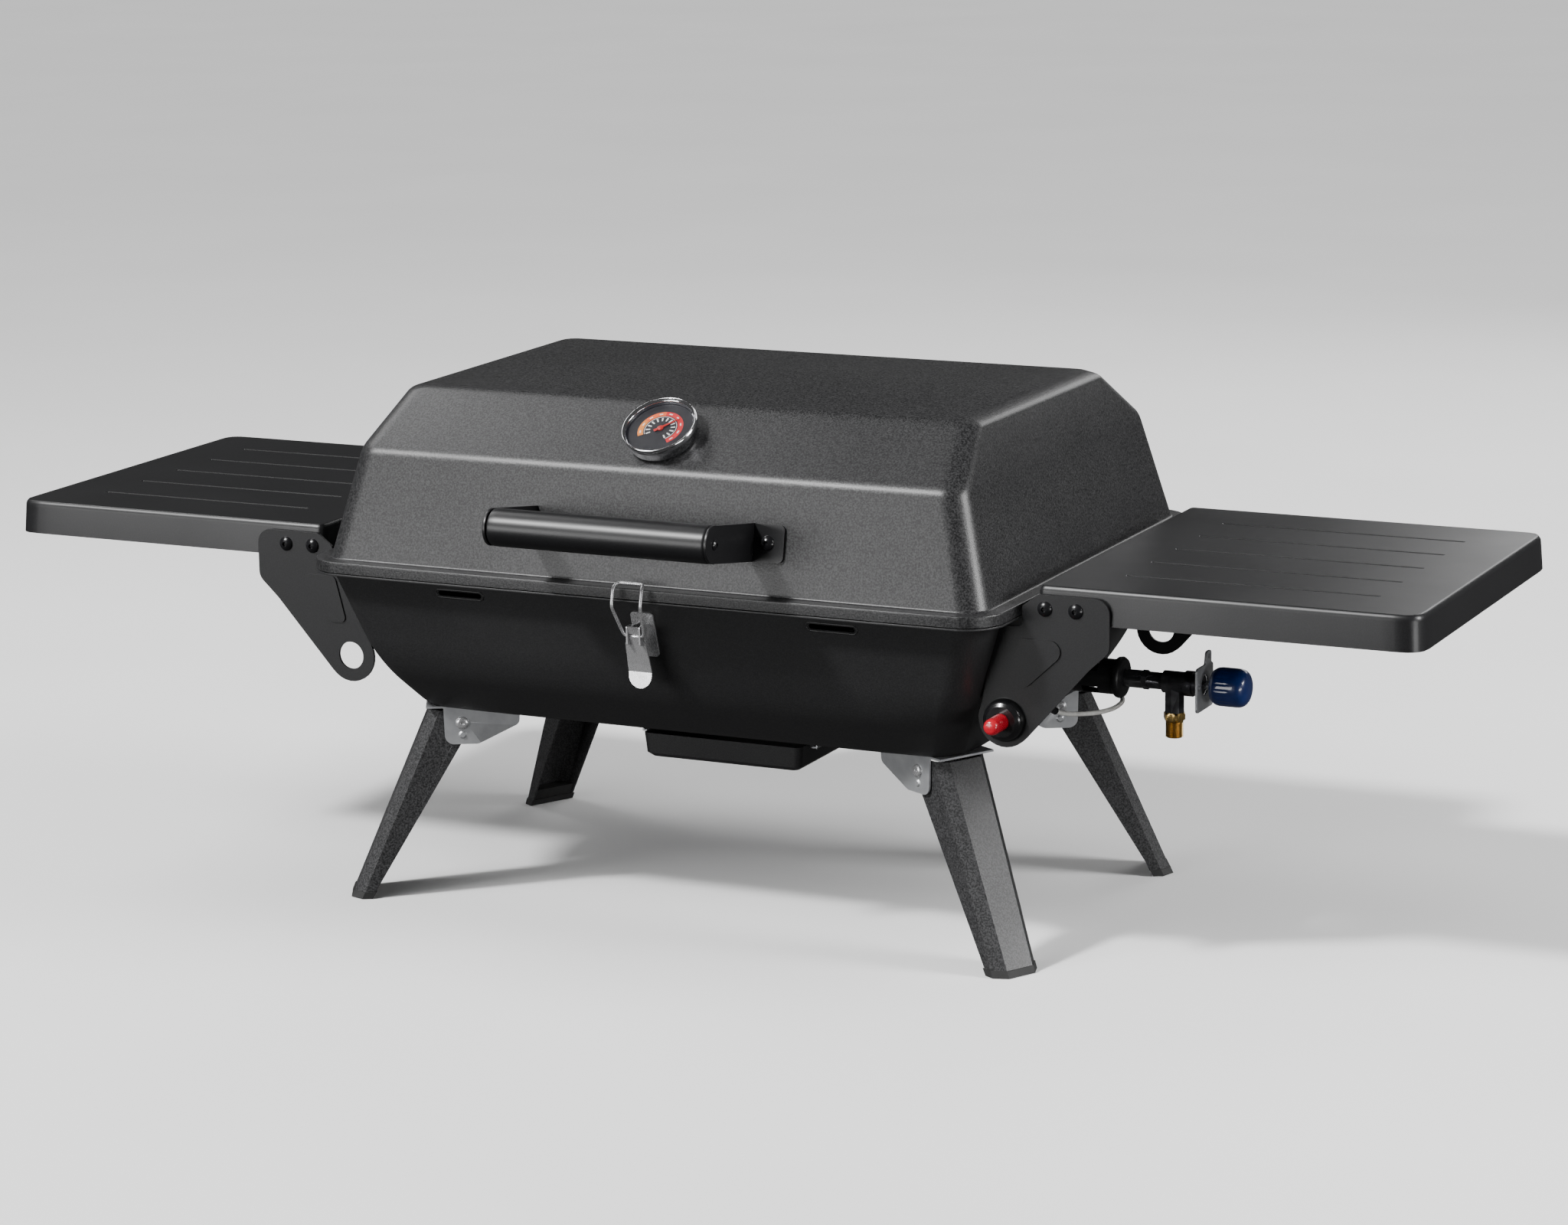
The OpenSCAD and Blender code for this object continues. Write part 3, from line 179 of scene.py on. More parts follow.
# Slot: darkest colour, lightest colour, roughness, size of the grain and its depth in mm
COATS = {
    "pan_enamel": ((0.016, 0.016, 0.0165), (0.026, 0.026, 0.027), 0.42, 0.9, 0.03),
    "lid_coat": ((0.006, 0.006, 0.0065), (0.038, 0.038, 0.039), 0.39, 1.3, 0.16),
    "arm_paint": ((0.008, 0.008, 0.0085), (0.013, 0.013, 0.014), 0.42, 0.9, 0.03),
    "shelf_paint": ((0.007, 0.007, 0.0075), (0.012, 0.012, 0.013), 0.36, 0.9, 0.03),
    "leg_coat": ((0.012, 0.012, 0.0125), (0.060, 0.060, 0.062), 0.44, 1.2, 0.16),
    "handle_paint": ((0.006, 0.006, 0.0065), (0.010, 0.010, 0.011), 0.34, 0.8, 0.02),
    "tray_enamel": ((0.018, 0.018, 0.0185), (0.028, 0.028, 0.029), 0.40, 0.9, 0.03),
    "cast_iron": ((0.014, 0.014, 0.014), (0.032, 0.030, 0.028), 0.62, 1.1, 0.25),
    "black_bolt": ((0.006, 0.006, 0.007), (0.010, 0.010, 0.011), 0.24, 0.3, 0.01),
}
# Slot: colour, stain or None, roughness, stretch of the grain, its depth in mm, share of bare metal
STEELS = {
    "galvanised": ((0.62, 0.63, 0.64), (0.50, 0.51, 0.53), 0.40, (1, 1, 1), 0.03, 0.75),
    "stainless": ((0.66, 0.66, 0.67), None, 0.27, (1, 1, 0.08), 0.02, 0.68),
    "burner_steel": ((0.34, 0.32, 0.30), (0.24, 0.19, 0.16), 0.42, (0.1, 1, 1), 0.04, 1.0),
    "valve_metal": ((0.20, 0.20, 0.21), (0.09, 0.09, 0.10), 0.36, (1, 1, 1), 0.16, 1.0),
    "brass": ((0.76, 0.53, 0.20), (0.64, 0.42, 0.14), 0.24, (1, 1, 0.1), 0.02, 1.0),
    "chrome": ((0.82, 0.82, 0.84), (0.78, 0.78, 0.80), 0.10, (1, 1, 1), 0.004, 1.0),
}
# Slot: colour, roughness, weight of the clear gloss, size of the grain and its depth in mm
PLASTICS = {
    "rubber": ((0.012, 0.012, 0.012), 0.70, 0.0, 0.6, 0.08),
    "knob_blue": ((0.004, 0.018, 0.105), 0.30, 0.7, 0.5, 0.02),
    "black_plastic": ((0.004, 0.004, 0.0045), 0.22, 0.5, 0.5, 0.02),
    "red_plastic": ((0.42, 0.004, 0.016), 0.26, 0.6, 0.5, 0.02),
    "lead_white": ((0.70, 0.69, 0.66), 0.46, 0.0, 0.5, 0.02),
    "ceramic": ((0.82, 0.81, 0.76), 0.22, 0.5, 0.5, 0.02),
    "dial": ((0.008, 0.008, 0.010), 0.50, 0.0, 0.3, 0.01),
    "needle_red": ((0.50, 0.020, 0.012), 0.36, 0.1, 0.5, 0.02),
}
INKS = {
    "orange": (0.85, 0.26, 0.03),
    "amber": (0.85, 0.13, 0.02),
    "red": (0.62, 0.010, 0.015),
    "white": (0.80, 0.80, 0.80),
}
INK_ROUGHNESS, INK_GRAIN, INK_DEPTH = 0.5, 0.5, 0.02


def materials():
    """One material for each of the record's slots."""
    made = {"glass": glass()}
    for slot, (dark, light, roughness, grain, depth) in COATS.items():
        made[slot] = coat(slot, dark, light, roughness, grain * MM, depth * MM)
    for slot, (colour, stain, roughness, along, depth, metal) in STEELS.items():
        made[slot] = steel(slot, colour, stain, roughness, along, depth * MM, metal)
    for slot, (colour, roughness, gloss, grain, depth) in PLASTICS.items():
        made[slot] = plastic(slot, colour, roughness, gloss, grain * MM, depth * MM)
    return made


def inks():
    """Matt print for the dial and the knob, which share other pieces' slots."""
    return {name: plastic(f"print_{name}", colour, INK_ROUGHNESS, 0.0, INK_GRAIN * MM, INK_DEPTH * MM)
            for name, colour in INKS.items()}


MATERIALS = materials()
PRINT = inks()

# ---------------------------------------------------------------- mesh tools


def make(name, verts, faces, slot, body, replaces=(), smooth=35, material=None, place=None):
    """Turns points and faces into a finished piece that rides on a body."""
    mesh = bpy.data.meshes.new(name)
    if place is not None:
        verts = [place @ Vector(v) for v in verts]
    mesh.from_pydata([tuple(v) for v in verts], [], faces)
    bm = bmesh.new()
    bm.from_mesh(mesh)
    bmesh.ops.remove_doubles(bm, verts=bm.verts, dist=1e-6)
    bmesh.ops.recalc_face_normals(bm, faces=bm.faces)
    bm.to_mesh(mesh)
    bm.free()
    mesh.validate()
    obj = bpy.data.objects.new(name, mesh)
    bpy.context.scene.collection.objects.link(obj)
    shade(obj, smooth)
    mesh.materials.append(material or MATERIALS[slot])
    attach(obj, body)
    if replaces:
        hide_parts(*replaces)
    return obj


def shade(obj, angle):
    mesh = obj.data
    mesh.polygons.foreach_set("use_smooth", [True] * len(mesh.polygons))
    mesh.set_sharp_from_angle(angle=math.radians(angle))
    mesh.update()


def cut(obj, cutters, smooth=35):
    """Takes closed meshes away from a piece."""
    for verts, faces in cutters:
        mesh = bpy.data.meshes.new("cutter")
        mesh.from_pydata([tuple(v) for v in verts], [], faces)
        cutter = bpy.data.objects.new("cutter", mesh)
        bpy.context.scene.collection.objects.link(cutter)
        mod = obj.modifiers.new("cut", "BOOLEAN")
        mod.object = cutter
        mod.operation = "DIFFERENCE"
        mod.solver = "EXACT"
        depsgraph = bpy.context.evaluated_depsgraph_get()
        result = bpy.data.meshes.new_from_object(obj.evaluated_get(depsgraph))
        obj.modifiers.clear()
        obj.data = result
        bpy.data.objects.remove(cutter)
    shade(obj, smooth)


def soften(points, radius, steps=4, closed=False):
    """Replaces each inner corner of a line of points, in any dimension, by a curve."""
    radii = radius if isinstance(radius, (list, tuple)) else [radius] * len(points)
    out = []
    last = len(points) - 1
    for i, p in enumerate(points):
        if (i in (0, last) and not closed) or radii[i] <= 0:
            out.append(list(p))
            continue
        before, after = points[i - 1], points[(i + 1) % len(points)]
        ends = []
        for q in (before, after):
            length = math.dist(p, q)
            share = min(0.45, radii[i] / max(length, 1e-9))
            ends.append([a + (b - a) * share for a, b in zip(p, q)])
        for k in range(steps + 1):
            t = k / steps
            out.append([(1 - t) ** 2 * a + 2 * t * (1 - t) * b + t * t * c
                        for a, b, c in zip(ends[0], p, ends[1])])
    return out


def side_steps(middle, corner, share):
    """Places along a side from -1 to 1: evenly in the middle and closer in the corners."""
    inner = 1 - share
    low = [-1 + share * i / corner for i in range(corner)]
    mid = [-inner + 2 * inner * i / middle for i in range(middle + 1)]
    return low + mid + [-x for x in reversed(low)]


def ring(a, b, r_left, r_right, xs, ys):
    """Points of a rounded rectangle, going round, at fixed places along its sides."""
    flat = [(x * a, -b) for x in xs[:-1]] + [(a, y * b) for y in ys[:-1]]
    flat += [(-x * a, b) for x in xs[:-1]] + [(-a, -y * b) for y in ys[:-1]]
    points = []
    for x, y in flat:
        r = r_left if x < 0 else r_right
        cx = max(-(a - r), min(a - r, x))
        cy = max(-(b - r), min(b - r, y))
        dx, dy = x - cx, y - cy
        if abs(dx) > 1e-9 and abs(dy) > 1e-9:
            length = math.hypot(dx, dy)
            x, y = cx + dx / length * r, cy + dy / length * r
        points.append((x, y))
    return points


def loft(stations, centre, xs, ys, join=False):
    """Skin through stations of half length, half depth, height and two plan radii."""
    verts, faces = [], []
    count = 0
    for a, b, z, r_left, r_right in stations:
        points = ring(a, b, r_left, r_right, xs, ys)
        count = len(points)
        verts += [(centre[0] + x, centre[1] + y, z) for x, y in points]
    levels = len(stations)
    for i in range(levels - (0 if join else 1)):
        j = (i + 1) % levels
        for k in range(count):
            m = (k + 1) % count
            faces.append((i * count + k, i * count + m, j * count + m, j * count + k))
    if not join:
        faces.append(tuple(range(count))[::-1])
        faces.append(tuple(range((levels - 1) * count, levels * count)))
    return verts, faces


def lathe(profile, segments=64, flute=None):
    """Solid turned about z from (radius, height) points; flute(angle, r, z) may change r."""
    verts, faces = [], []
    for r, z in profile:
        for k in range(segments):
            angle = 2 * math.pi * k / segments
            radius = flute(angle, r, z) if flute else r
            verts.append((radius * math.cos(angle), radius * math.sin(angle), z))
    for i in range(len(profile) - 1):
        for k in range(segments):
            m = (k + 1) % segments
            here, above = i * segments, (i + 1) * segments
            faces.append((here + k, here + m, above + m, above + k))
    faces.append(tuple(range(segments))[::-1])
    faces.append(tuple(range((len(profile) - 1) * segments, len(profile) * segments)))
    return verts, faces


def smooth_path(points, per):
    """Catmull-Rom curve through points, with per steps in each span."""
    points = [Vector(p) for p in points]
    out = []
    for i in range(len(points) - 1):
        p0, p1, p2 = points[max(i - 1, 0)], points[i], points[i + 1]
        p3 = points[min(i + 2, len(points) - 1)]
        for k in range(per):
            t = k / per
            out.append(0.5 * (2 * p1 + (p2 - p0) * t + (2 * p0 - 5 * p1 + 4 * p2 - p3) * t * t
                              + (3 * p1 - p0 - 3 * p2 + p3) * t ** 3))
    return out + [points[-1]]


def tube(path, radius, sides=16, closed=False):
    """Round wire along a path, with frames carried along it so that it doesn't twist."""
    count = len(path)
    verts, faces = [], []
    normal = None
    for i, p in enumerate(path):
        before = path[i - 1] if closed or i else p
        after = path[(i + 1) % count] if closed or i < count - 1 else p
        along = (after - before).normalized()
        if normal is None:
            normal = along.orthogonal().normalized()
        normal = (normal - along * normal.dot(along)).normalized()
        side = along.cross(normal)
        for k in range(sides):
            angle = 2 * math.pi * k / sides
            verts.append(p + radius * (math.cos(angle) * normal + math.sin(angle) * side))
    for i in range(count if closed else count - 1):
        j = (i + 1) % count
        for k in range(sides):
            m = (k + 1) % sides
            faces.append((i * sides + k, i * sides + m, j * sides + m, j * sides + k))
    if not closed:
        faces.append(tuple(range(sides))[::-1])
        faces.append(tuple(range((count - 1) * sides, count * sides)))
    return verts, faces


def prism(outline, low, high):
    """Solid between two heights over an outline of (x, y) points."""
    n = len(outline)
    verts = [(x, y, low) for x, y in outline] + [(x, y, high) for x, y in outline]
    faces = [tuple(range(n))[::-1], tuple(range(n, 2 * n))]
    faces += [(k, (k + 1) % n, (k + 1) % n + n, k + n) for k in range(n)]
    return verts, faces


def moved(solid, place):
    return [place @ Vector(v) for v in solid[0]], solid[1]


def turned_to(axis, origin):
    """Matrix that takes local z to an axis at a point."""
    return Matrix.Translation(origin) @ Vector(axis).to_track_quat("Z", "Y").to_matrix().to_4x4()


def middle(node):
    low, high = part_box(node)
    return (low + high) / 2


# ---------------------------------------------------------------- camera, light and floor

AZIMUTH, ELEVATION, ROLL = math.radians(25.70), math.radians(12.54), math.radians(-0.87)
DISTANCE, ASIDE, BELOW, AIM_Z = 3.277, 0.0188, 0.0386, 0.250
LENS_MM, SENSOR_MM = 99.5, 36.0


def camera():
    """Camera turned about a point above the middle of the pan."""
    back = Vector((math.sin(AZIMUTH) * math.cos(ELEVATION), -math.cos(AZIMUTH) * math.cos(ELEVATION),
                   math.sin(ELEVATION)))
    right = Vector((math.cos(AZIMUTH), math.sin(AZIMUTH), 0))
    up = back.cross(right)
    image_x = math.cos(ROLL) * right + math.sin(ROLL) * up
    image_y = math.cos(ROLL) * up - math.sin(ROLL) * right
    aim = Vector((0, middle("lid").y, AIM_Z))
    data = bpy.data.cameras.new("camera")
    data.lens = LENS_MM
    data.sensor_width = SENSOR_MM
    cam = bpy.data.objects.new("camera", data)
    bpy.context.scene.collection.objects.link(cam)
    cam.matrix_world = Matrix.Translation(aim + back * DISTANCE + right * ASIDE - up * BELOW) @ Matrix(
        (image_x, image_y, back)).transposed().to_4x4()
    bpy.context.scene.camera = cam


def softbox(name, at, aim, size, power):
    """Rectangular area light at a place, facing a point."""
    data = bpy.data.lights.new(name, "AREA")
    data.shape = "RECTANGLE"
    data.size, data.size_y = size
    data.energy = power
    light = bpy.data.objects.new(name, data)
    light.location = at
    light.rotation_mode = "QUATERNION"
    light.rotation_quaternion = (Vector(at) - Vector(aim)).to_track_quat("Z", "Y")
    bpy.context.scene.collection.objects.link(light)


# Name: place, width and height in metres, and power in watts
LIGHTS = {
    "key": ((-1.15, -1.55, 2.15), (1.2, 1.0), 42),
    "front_low": ((-1.25, -2.70, 0.55), (1.9, 0.9), 46),
    "overhead": ((-1.60, 0.35, 2.05), (0.9, 0.9), 17),
    "right": ((2.60, 0.30, 1.30), (0.8, 0.9), 85),
    "front_right": ((2.25, -0.95, 0.18), (1.1, 0.3), 15),
    "back": ((0.45, 2.50, 1.30), (1.4, 0.9), 16),
}
LIGHTS_AIM = (0, 0, 0.27)
SUN_FROM, SUN_POWER, SUN_SPREAD = (-0.42, -0.55, 0.72), 3.6, math.radians(6)
SKY = 0.07


def studio():
    """Sun for an even floor and crisp shadows, softboxes for the gloss, and a dim plain sky."""
    for name, (at, size, power) in LIGHTS.items():
        softbox(name, at, LIGHTS_AIM, size, power)
    data = bpy.data.lights.new("sun", "SUN")
    data.energy = SUN_POWER
    data.angle = SUN_SPREAD
    sun = bpy.data.objects.new("sun", data)
    sun.rotation_mode = "QUATERNION"
    sun.rotation_quaternion = Vector(SUN_FROM).to_track_quat("Z", "Y")
    bpy.context.scene.collection.objects.link(sun)
    world = bpy.data.worlds.new("studio")
    bpy.context.scene.world = world
    world.use_nodes = True
    sky = world.node_tree.nodes["Background"]
    sky.inputs["Color"].default_value = (1, 1, 1, 1)
    sky.inputs["Strength"].default_value = SKY


FLOOR_HALF, FLOOR_DROP, FLOOR_BLOTCH = 60.0, 0.0004, 0.4
FLOOR_COLOURS = (0.90, 0.90, 0.90), (0.93, 0.93, 0.93)


def floor():
    """Pale floor, just clear of the feet, which doesn't mirror in the object's dark paint."""
    mesh = bpy.data.meshes.new("floor")
    half = FLOOR_HALF
    corners = [(-half, -half, 0), (half, -half, 0), (half, half, 0), (-half, half, 0)]
    mesh.from_pydata(corners, [], [(0, 1, 2, 3)])
    obj = bpy.data.objects.new("floor", mesh)
    bpy.context.scene.collection.objects.link(obj)
    obj.location.z = -FLOOR_DROP
    obj.visible_diffuse = False
    obj.visible_glossy = False
    n = Nodes("floor")
    blotch = n.spread(n.noise(FLOOR_BLOTCH), 0, 1)
    n.link(n.blend(blotch, *FLOOR_COLOURS), n.shader.inputs["Base Color"])
    mesh.materials.append(n.set(Roughness=0.8))


camera()
studio()
floor()

# ---------------------------------------------------------------- lid and pan

SHEET = 1.5 * MM
LIP_OUT, LIP_H = 11.5 * MM, 8 * MM
CORNER = 20 * MM
LID_WALL_H, LID_SLOPE_H = 81 * MM, 40 * MM
LEAN_X, LEAN_Y = 21 * MM, 17 * MM
SLOPE_X, SLOPE_Y = 13 * MM, 59 * MM
TOP_ROUND, TOP_DROP, END_ROUND = 5 * MM, 3 * MM, 9 * MM

XS_LONG = side_steps(10, 12, 0.09)
YS_LONG = side_steps(8, 12, 0.12)


def station(a, b, z, r):
    return [a, b, z, r, r]


def lid():
    """Pressed lid with a turned-down lip, a leaning wall, a front and rear slope and a flat top."""
    low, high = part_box("lid")
    lip_l, lip_d = (high.x - low.x) / 2, (high.y - low.y) / 2
    half_l, half_d = lip_l - LIP_OUT, lip_d - LIP_OUT
    z0, z3 = low.z, high.z
    z1 = z0 + LIP_H
    z2 = z1 + LID_WALL_H
    l2, d2 = half_l - LEAN_X, half_d - LEAN_Y
    l3, d3 = l2 - SLOPE_X, d2 - SLOPE_Y
    lip_r = CORNER + LIP_OUT
    s = SHEET
    outer = [
        station(lip_l, lip_d, z0, lip_r),
        station(lip_l, lip_d, z1, lip_r),
        station(half_l, half_d, z1, CORNER),
        station(l2, d2, z2, CORNER - 3 * MM),
        station(l3 + 0.5 * MM, d3 + TOP_ROUND, z3 - TOP_DROP, CORNER - 6 * MM),
        station(l3 - END_ROUND, d3 - 1 * MM, z3, CORNER - 9 * MM),
    ]
    inner = [[a - s, b - s, z - (s if i else 0), max(r - s, 1 * MM), max(r - s, 1 * MM)]
             for i, (a, b, z, r, _) in enumerate(outer)]
    outer = soften(outer, [0, 1.6 * MM, 2.2 * MM, 6 * MM, 4.5 * MM, 4 * MM])
    inner = soften(inner, [0, 1 * MM, 2 * MM, 5.5 * MM, 4 * MM, 3 * MM])
    centre = ((low.x + high.x) / 2, (low.y + high.y) / 2)
    verts, faces = loft(list(reversed(outer)) + inner, centre, XS_LONG, YS_LONG)
    make("lid_shell", verts, faces, "lid_coat", "lid", ["lid"], 50)


PAN_LEAN = 0.295
PAN_KINK = 63 * MM
KINK_DROP, KINK_X, KINK_Y = 20 * MM, 8 * MM, 10 * MM
FLOOR_IN_X, FLOOR_IN_Y = 43 * MM, 57 * MM
SLOT_L, SLOT_H, SLOT_DROP = 36 * MM, 4 * MM, 10.5 * MM
SLOT_LIP_R, SLOT_LIP_L, SLOT_LIP_H, SLOT_LIP_OUT = 0.75 * MM, 3.4 * MM, 2.6 * MM, 0.1 * MM
HINGE_HALF = 21 * MM
CUP_WALL, CUP_PLAY, ELECTRODE_HOLE_R, DRAIN_R = 2 * MM, 0.1 * MM, 2.6 * MM, 14 * MM


def rounded_slot(length, height, sides=10):
    """Outline of a slot with round ends."""
    r = height / 2
    right = [(length / 2 - r + r * math.cos(t), r * math.sin(t))
             for t in [math.pi * (k / sides - 0.5) for k in range(sides + 1)]]
    return right + [(-x, -y) for x, y in right]


def pan():
    """Pressed pan with its rim, four air slots with rolled lips, and holes for gas, spark and grease."""
    low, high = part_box("pan")
    lip_l, lip_d = (high.x - low.x) / 2, (high.y - low.y) / 2
    half_l, half_d = lip_l - LIP_OUT, lip_d - LIP_OUT
    rim, base = high.z, low.z
    kink_in = PAN_LEAN * PAN_KINK
    kink = rim - PAN_KINK
    s = SHEET

    def wall(z):
        return PAN_LEAN * (rim - z)

    kink_l, kink_d = half_l - kink_in, half_d - kink_in
    floor_l, floor_d = half_l - FLOOR_IN_X, half_d - FLOOR_IN_Y
    below = [
        station(kink_l, kink_d, kink, CORNER + 4 * MM),
        station(kink_l - KINK_X, kink_d - KINK_Y, kink - KINK_DROP, CORNER + 8 * MM),
        station(floor_l + 4 * MM, floor_d + 5 * MM, base + 4 * MM, CORNER + 10 * MM),
        station(floor_l, floor_d, base, CORNER + 8 * MM),
    ]
    under = rim - s
    outer = [
        station(half_l - s, half_d - s, rim, CORNER - s),
        station(lip_l, lip_d, rim, CORNER + LIP_OUT),
        station(lip_l, lip_d, under, CORNER + LIP_OUT),
        station(half_l - wall(under), half_d - wall(under), under, CORNER),
    ] + below
    inner = [[a - s, b - s, z + (s if i > 1 else 0), r - s, r - s]
             for i, (a, b, z, r, _) in enumerate(below)]
    outer = soften(outer, [0, 0.5 * MM, 0.5 * MM, 2 * MM, 12 * MM, 12 * MM, 4 * MM, 3 * MM])
    inner = soften([[half_l - s, half_d - s, rim, CORNER - s, CORNER - s]] + inner,
                   [0, 11 * MM, 11 * MM, 4 * MM, 3 * MM])[1:]
    y0 = (low.y + high.y) / 2
    verts, faces = loft(list(reversed(inner)) + outer, (0, y0), XS_LONG, YS_LONG)
    shell = make("pan_shell", verts, faces, "pan_enamel", "body", ["pan"], 50)
    cutters = air_slots(y0, half_d, rim) + pan_holes(y0, half_l, base)
    cut(shell, cutters, 50)


def air_slots(y0, half_d, rim):
    """Makes the slots' rolled lips and returns the slots' cutters."""
    slot_z = rim - SLOT_DROP
    y_out = half_d - PAN_LEAN * (rim - slot_z)
    tilt = math.atan(PAN_LEAN)
    hinges_low, hinges_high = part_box("pan_hinge_leaves")
    cutters = []
    for side, x in (("left", hinges_low.x + HINGE_HALF), ("right", hinges_high.x - HINGE_HALF)):
        for end, face in (("front", -1), ("rear", 1)):
            y = y0 + face * y_out
            place = Matrix.Translation((x, y, slot_z)) @ Matrix.Rotation(math.radians(90), 4, "X")
            cutters.append(moved(prism(rounded_slot(SLOT_L, SLOT_H), -6 * MM, 6 * MM), place))
            at = Matrix.Translation((x, y + face * SLOT_LIP_OUT, slot_z))
            lean = at @ Matrix.Rotation(-face * tilt, 4, "X")
            outline = rounded_slot(SLOT_L + SLOT_LIP_L, SLOT_H + SLOT_LIP_H)
            path = [lean @ Vector((px, 0, pz)) for px, pz in outline]
            lip = tube(path, SLOT_LIP_R, 10, True)
            make(f"slot_lip_{side}_{end}", *lip, "pan_enamel", "body", smooth=60)
    return cutters


def pan_holes(y0, half_l, base):
    """Cutters for the venturi cup's hole, the electrode's hole and the drain."""
    gas, spark = middle("venturi_cup"), middle("electrode_ceramic")
    cup_low, cup_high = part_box("venturi_cup")
    cup_r = (cup_high.z - cup_low.z) / 2 - CUP_WALL
    holes = (
        (cup_r + CUP_PLAY, (half_l - 60 * MM, gas.y, gas.z), (1, 0, 0), 90 * MM),
        (ELECTRODE_HOLE_R, (half_l - 45 * MM, spark.y, spark.z), (1, 0, 0), 30 * MM),
        (DRAIN_R, (0, y0, base - 2 * MM), (0, 0, 1), 8 * MM),
    )
    return [moved(lathe([(radius, 0), (radius, length)], 40), turned_to(axis, centre))
            for radius, centre, axis, length in holes]


lid()
pan()

# ---------------------------------------------------------------- shelves

SHELF_T = 1.2 * MM
FLARE, ROLL_IN, TOP_IN, ROLL_DROP = 1.5 * MM, 0.4 * MM, 2.2 * MM, 2.4 * MM
TIGHT_R, ROUND_R = 5 * MM, 14 * MM
BOLT_GAP, BOLT_HOLE_R = 23 * MM, 3.05 * MM
TOP_FLAT_IN = 1.5 * MM
GROOVES, GROOVE_W, GROOVE_DEEP, GROOVE_SHARE, GROOVE_STEEP = 5, 3.6 * MM, 1.4 * MM, 0.68, 5.0


def groove_lines(b):
    """Distances of the grooves from the shelf's middle."""
    return [(i - (GROOVES - 1) / 2) * 2 * b / (GROOVES + 1) for i in range(GROOVES)]


def groove_depth(x, y, a, b):
    """How far the top is pressed down at a point measured from the shelf's middle."""
    dx = max(abs(x) - a * GROOVE_SHARE, 0)
    best = min(math.hypot(dx, y - line) for line in groove_lines(b)) / (GROOVE_W / 2)
    if best >= 1:
        return 0.0
    return GROOVE_DEEP * min(1.0, GROOVE_STEEP * (1 - best))


def grid_places(half, fine, reach, step):
    """Places from -1 to 1 with close rows within reach of each fine line."""
    close = [line + reach * k / 5 for line in fine for k in range(-6, 7)]
    count = int(2 * half / step)
    even = [-half + 2 * half * k / count for k in range(1, count)]
    wide = [p for p in even if all(abs(p - q) > step * 0.3 for q in close)]
    edge = [-half, -half * 0.985, -half * 0.97, half * 0.97, half * 0.985, half]
    return [p / half for p in sorted(close + wide + edge)]


def shelf(side):
    """Pressed shelf: a flared skirt, a rolled edge and a top with pressed grooves, as one sheet."""
    node = f"shelf_{side}"
    sign = 1 if side == "right" else -1
    low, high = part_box(node)
    a, b = (high.x - low.x) / 2 - FLARE, (high.y - low.y) / 2 - FLARE
    cx, cy = (low.x + high.x) / 2, (low.y + high.y) / 2
    flat_a, flat_b = a - TOP_IN - TOP_FLAT_IN, b - TOP_IN - TOP_FLAT_IN
    xs = grid_places(flat_a, [-flat_a * GROOVE_SHARE, flat_a * GROOVE_SHARE], GROOVE_W / 2, 9 * MM)
    ys = grid_places(flat_b, groove_lines(flat_b), GROOVE_W / 2, 9 * MM)
    nx, ny = len(xs) - 1, len(ys) - 1
    inner_r, outer_r = (TIGHT_R, ROUND_R) if sign > 0 else (ROUND_R, TIGHT_R)

    def level(inset, z, thick=0.0):
        d = inset + thick
        return [a - d, b - d, z, inner_r - d, outer_r - d]

    top = high.z
    outer = soften([level(-FLARE, low.z), level(ROLL_IN, top - ROLL_DROP), level(TOP_IN, top),
                    level(TOP_IN + TOP_FLAT_IN, top)], [0, 2 * MM, 1.5 * MM, 0])
    inner = soften([level(-FLARE, low.z, SHELF_T), level(ROLL_IN, top - ROLL_DROP, SHELF_T),
                    level(TOP_IN, top - SHELF_T, SHELF_T),
                    level(TOP_IN + 0.5 * MM, top - SHELF_T, SHELF_T)], [0, 1.5 * MM, 1 * MM, 0])
    rings = list(reversed(inner)) + outer
    verts, faces = loft(rings, (cx, cy), xs, ys)
    faces = faces[:-2]
    for ring_index, flip in ((len(rings) - 1, False), (0, True)):
        ra, rb, z, r_left, r_right = rings[ring_index]
        edge = ring(ra, rb, r_left, r_right, xs, ys)
        start = len(verts)
        for j, v in enumerate(ys):
            for i, u in enumerate(xs):
                x, y = u * ra, v * rb
                if i in (0, nx) or j in (0, ny):
                    x, y = edge[edge_index(i, j, nx, ny)]
                z_here = z - groove_depth(x, y, flat_a, flat_b)
                verts.append((cx + x, cy + y, z_here))
        for j in range(ny):
            for i in range(nx):
                k = start + j * (nx + 1) + i
                face = (k, k + 1, k + nx + 2, k + nx + 1)
                faces.append(face[::-1] if flip else face)
    obj = make(f"shelf_{side}_sheet", verts, faces, "shelf_paint", node, [node], 50)
    pivot = Vector(JOINT[f"shelf_{side}_fold"]["pos_m"])
    hole = BOLT_HOLE_R
    span = 2 * b + 20 * MM
    cutters = []
    for x in (pivot.x, pivot.x + sign * BOLT_GAP):
        place = turned_to((0, 1, 0), (x, cy - span / 2, pivot.z))
        cutters.append(moved(lathe([(hole, 0), (hole, span)], 32), place))
    outer_x = pivot.x + sign * BOLT_GAP
    notch = [(outer_x + sign * hole, pivot.z), (outer_x + sign * hole, pivot.z - 12 * MM),
             (outer_x - sign * (hole + 3.4 * MM), pivot.z - 12 * MM), (outer_x - sign * hole, pivot.z)]
    stand = Matrix.Rotation(math.radians(90), 4, "X")
    cutters.append(moved(prism(notch, -(cy + span / 2), -(cy - span / 2)), stand))
    cut(obj, cutters, 50)


def edge_index(i, j, nx, ny):
    """Place of a grid's border point in the ring that goes round it."""
    if j == 0:
        return i if i < nx else nx
    if i == nx:
        return nx + j
    if j == ny:
        return nx + ny + (nx - i)
    return 2 * nx + ny + (ny - j)


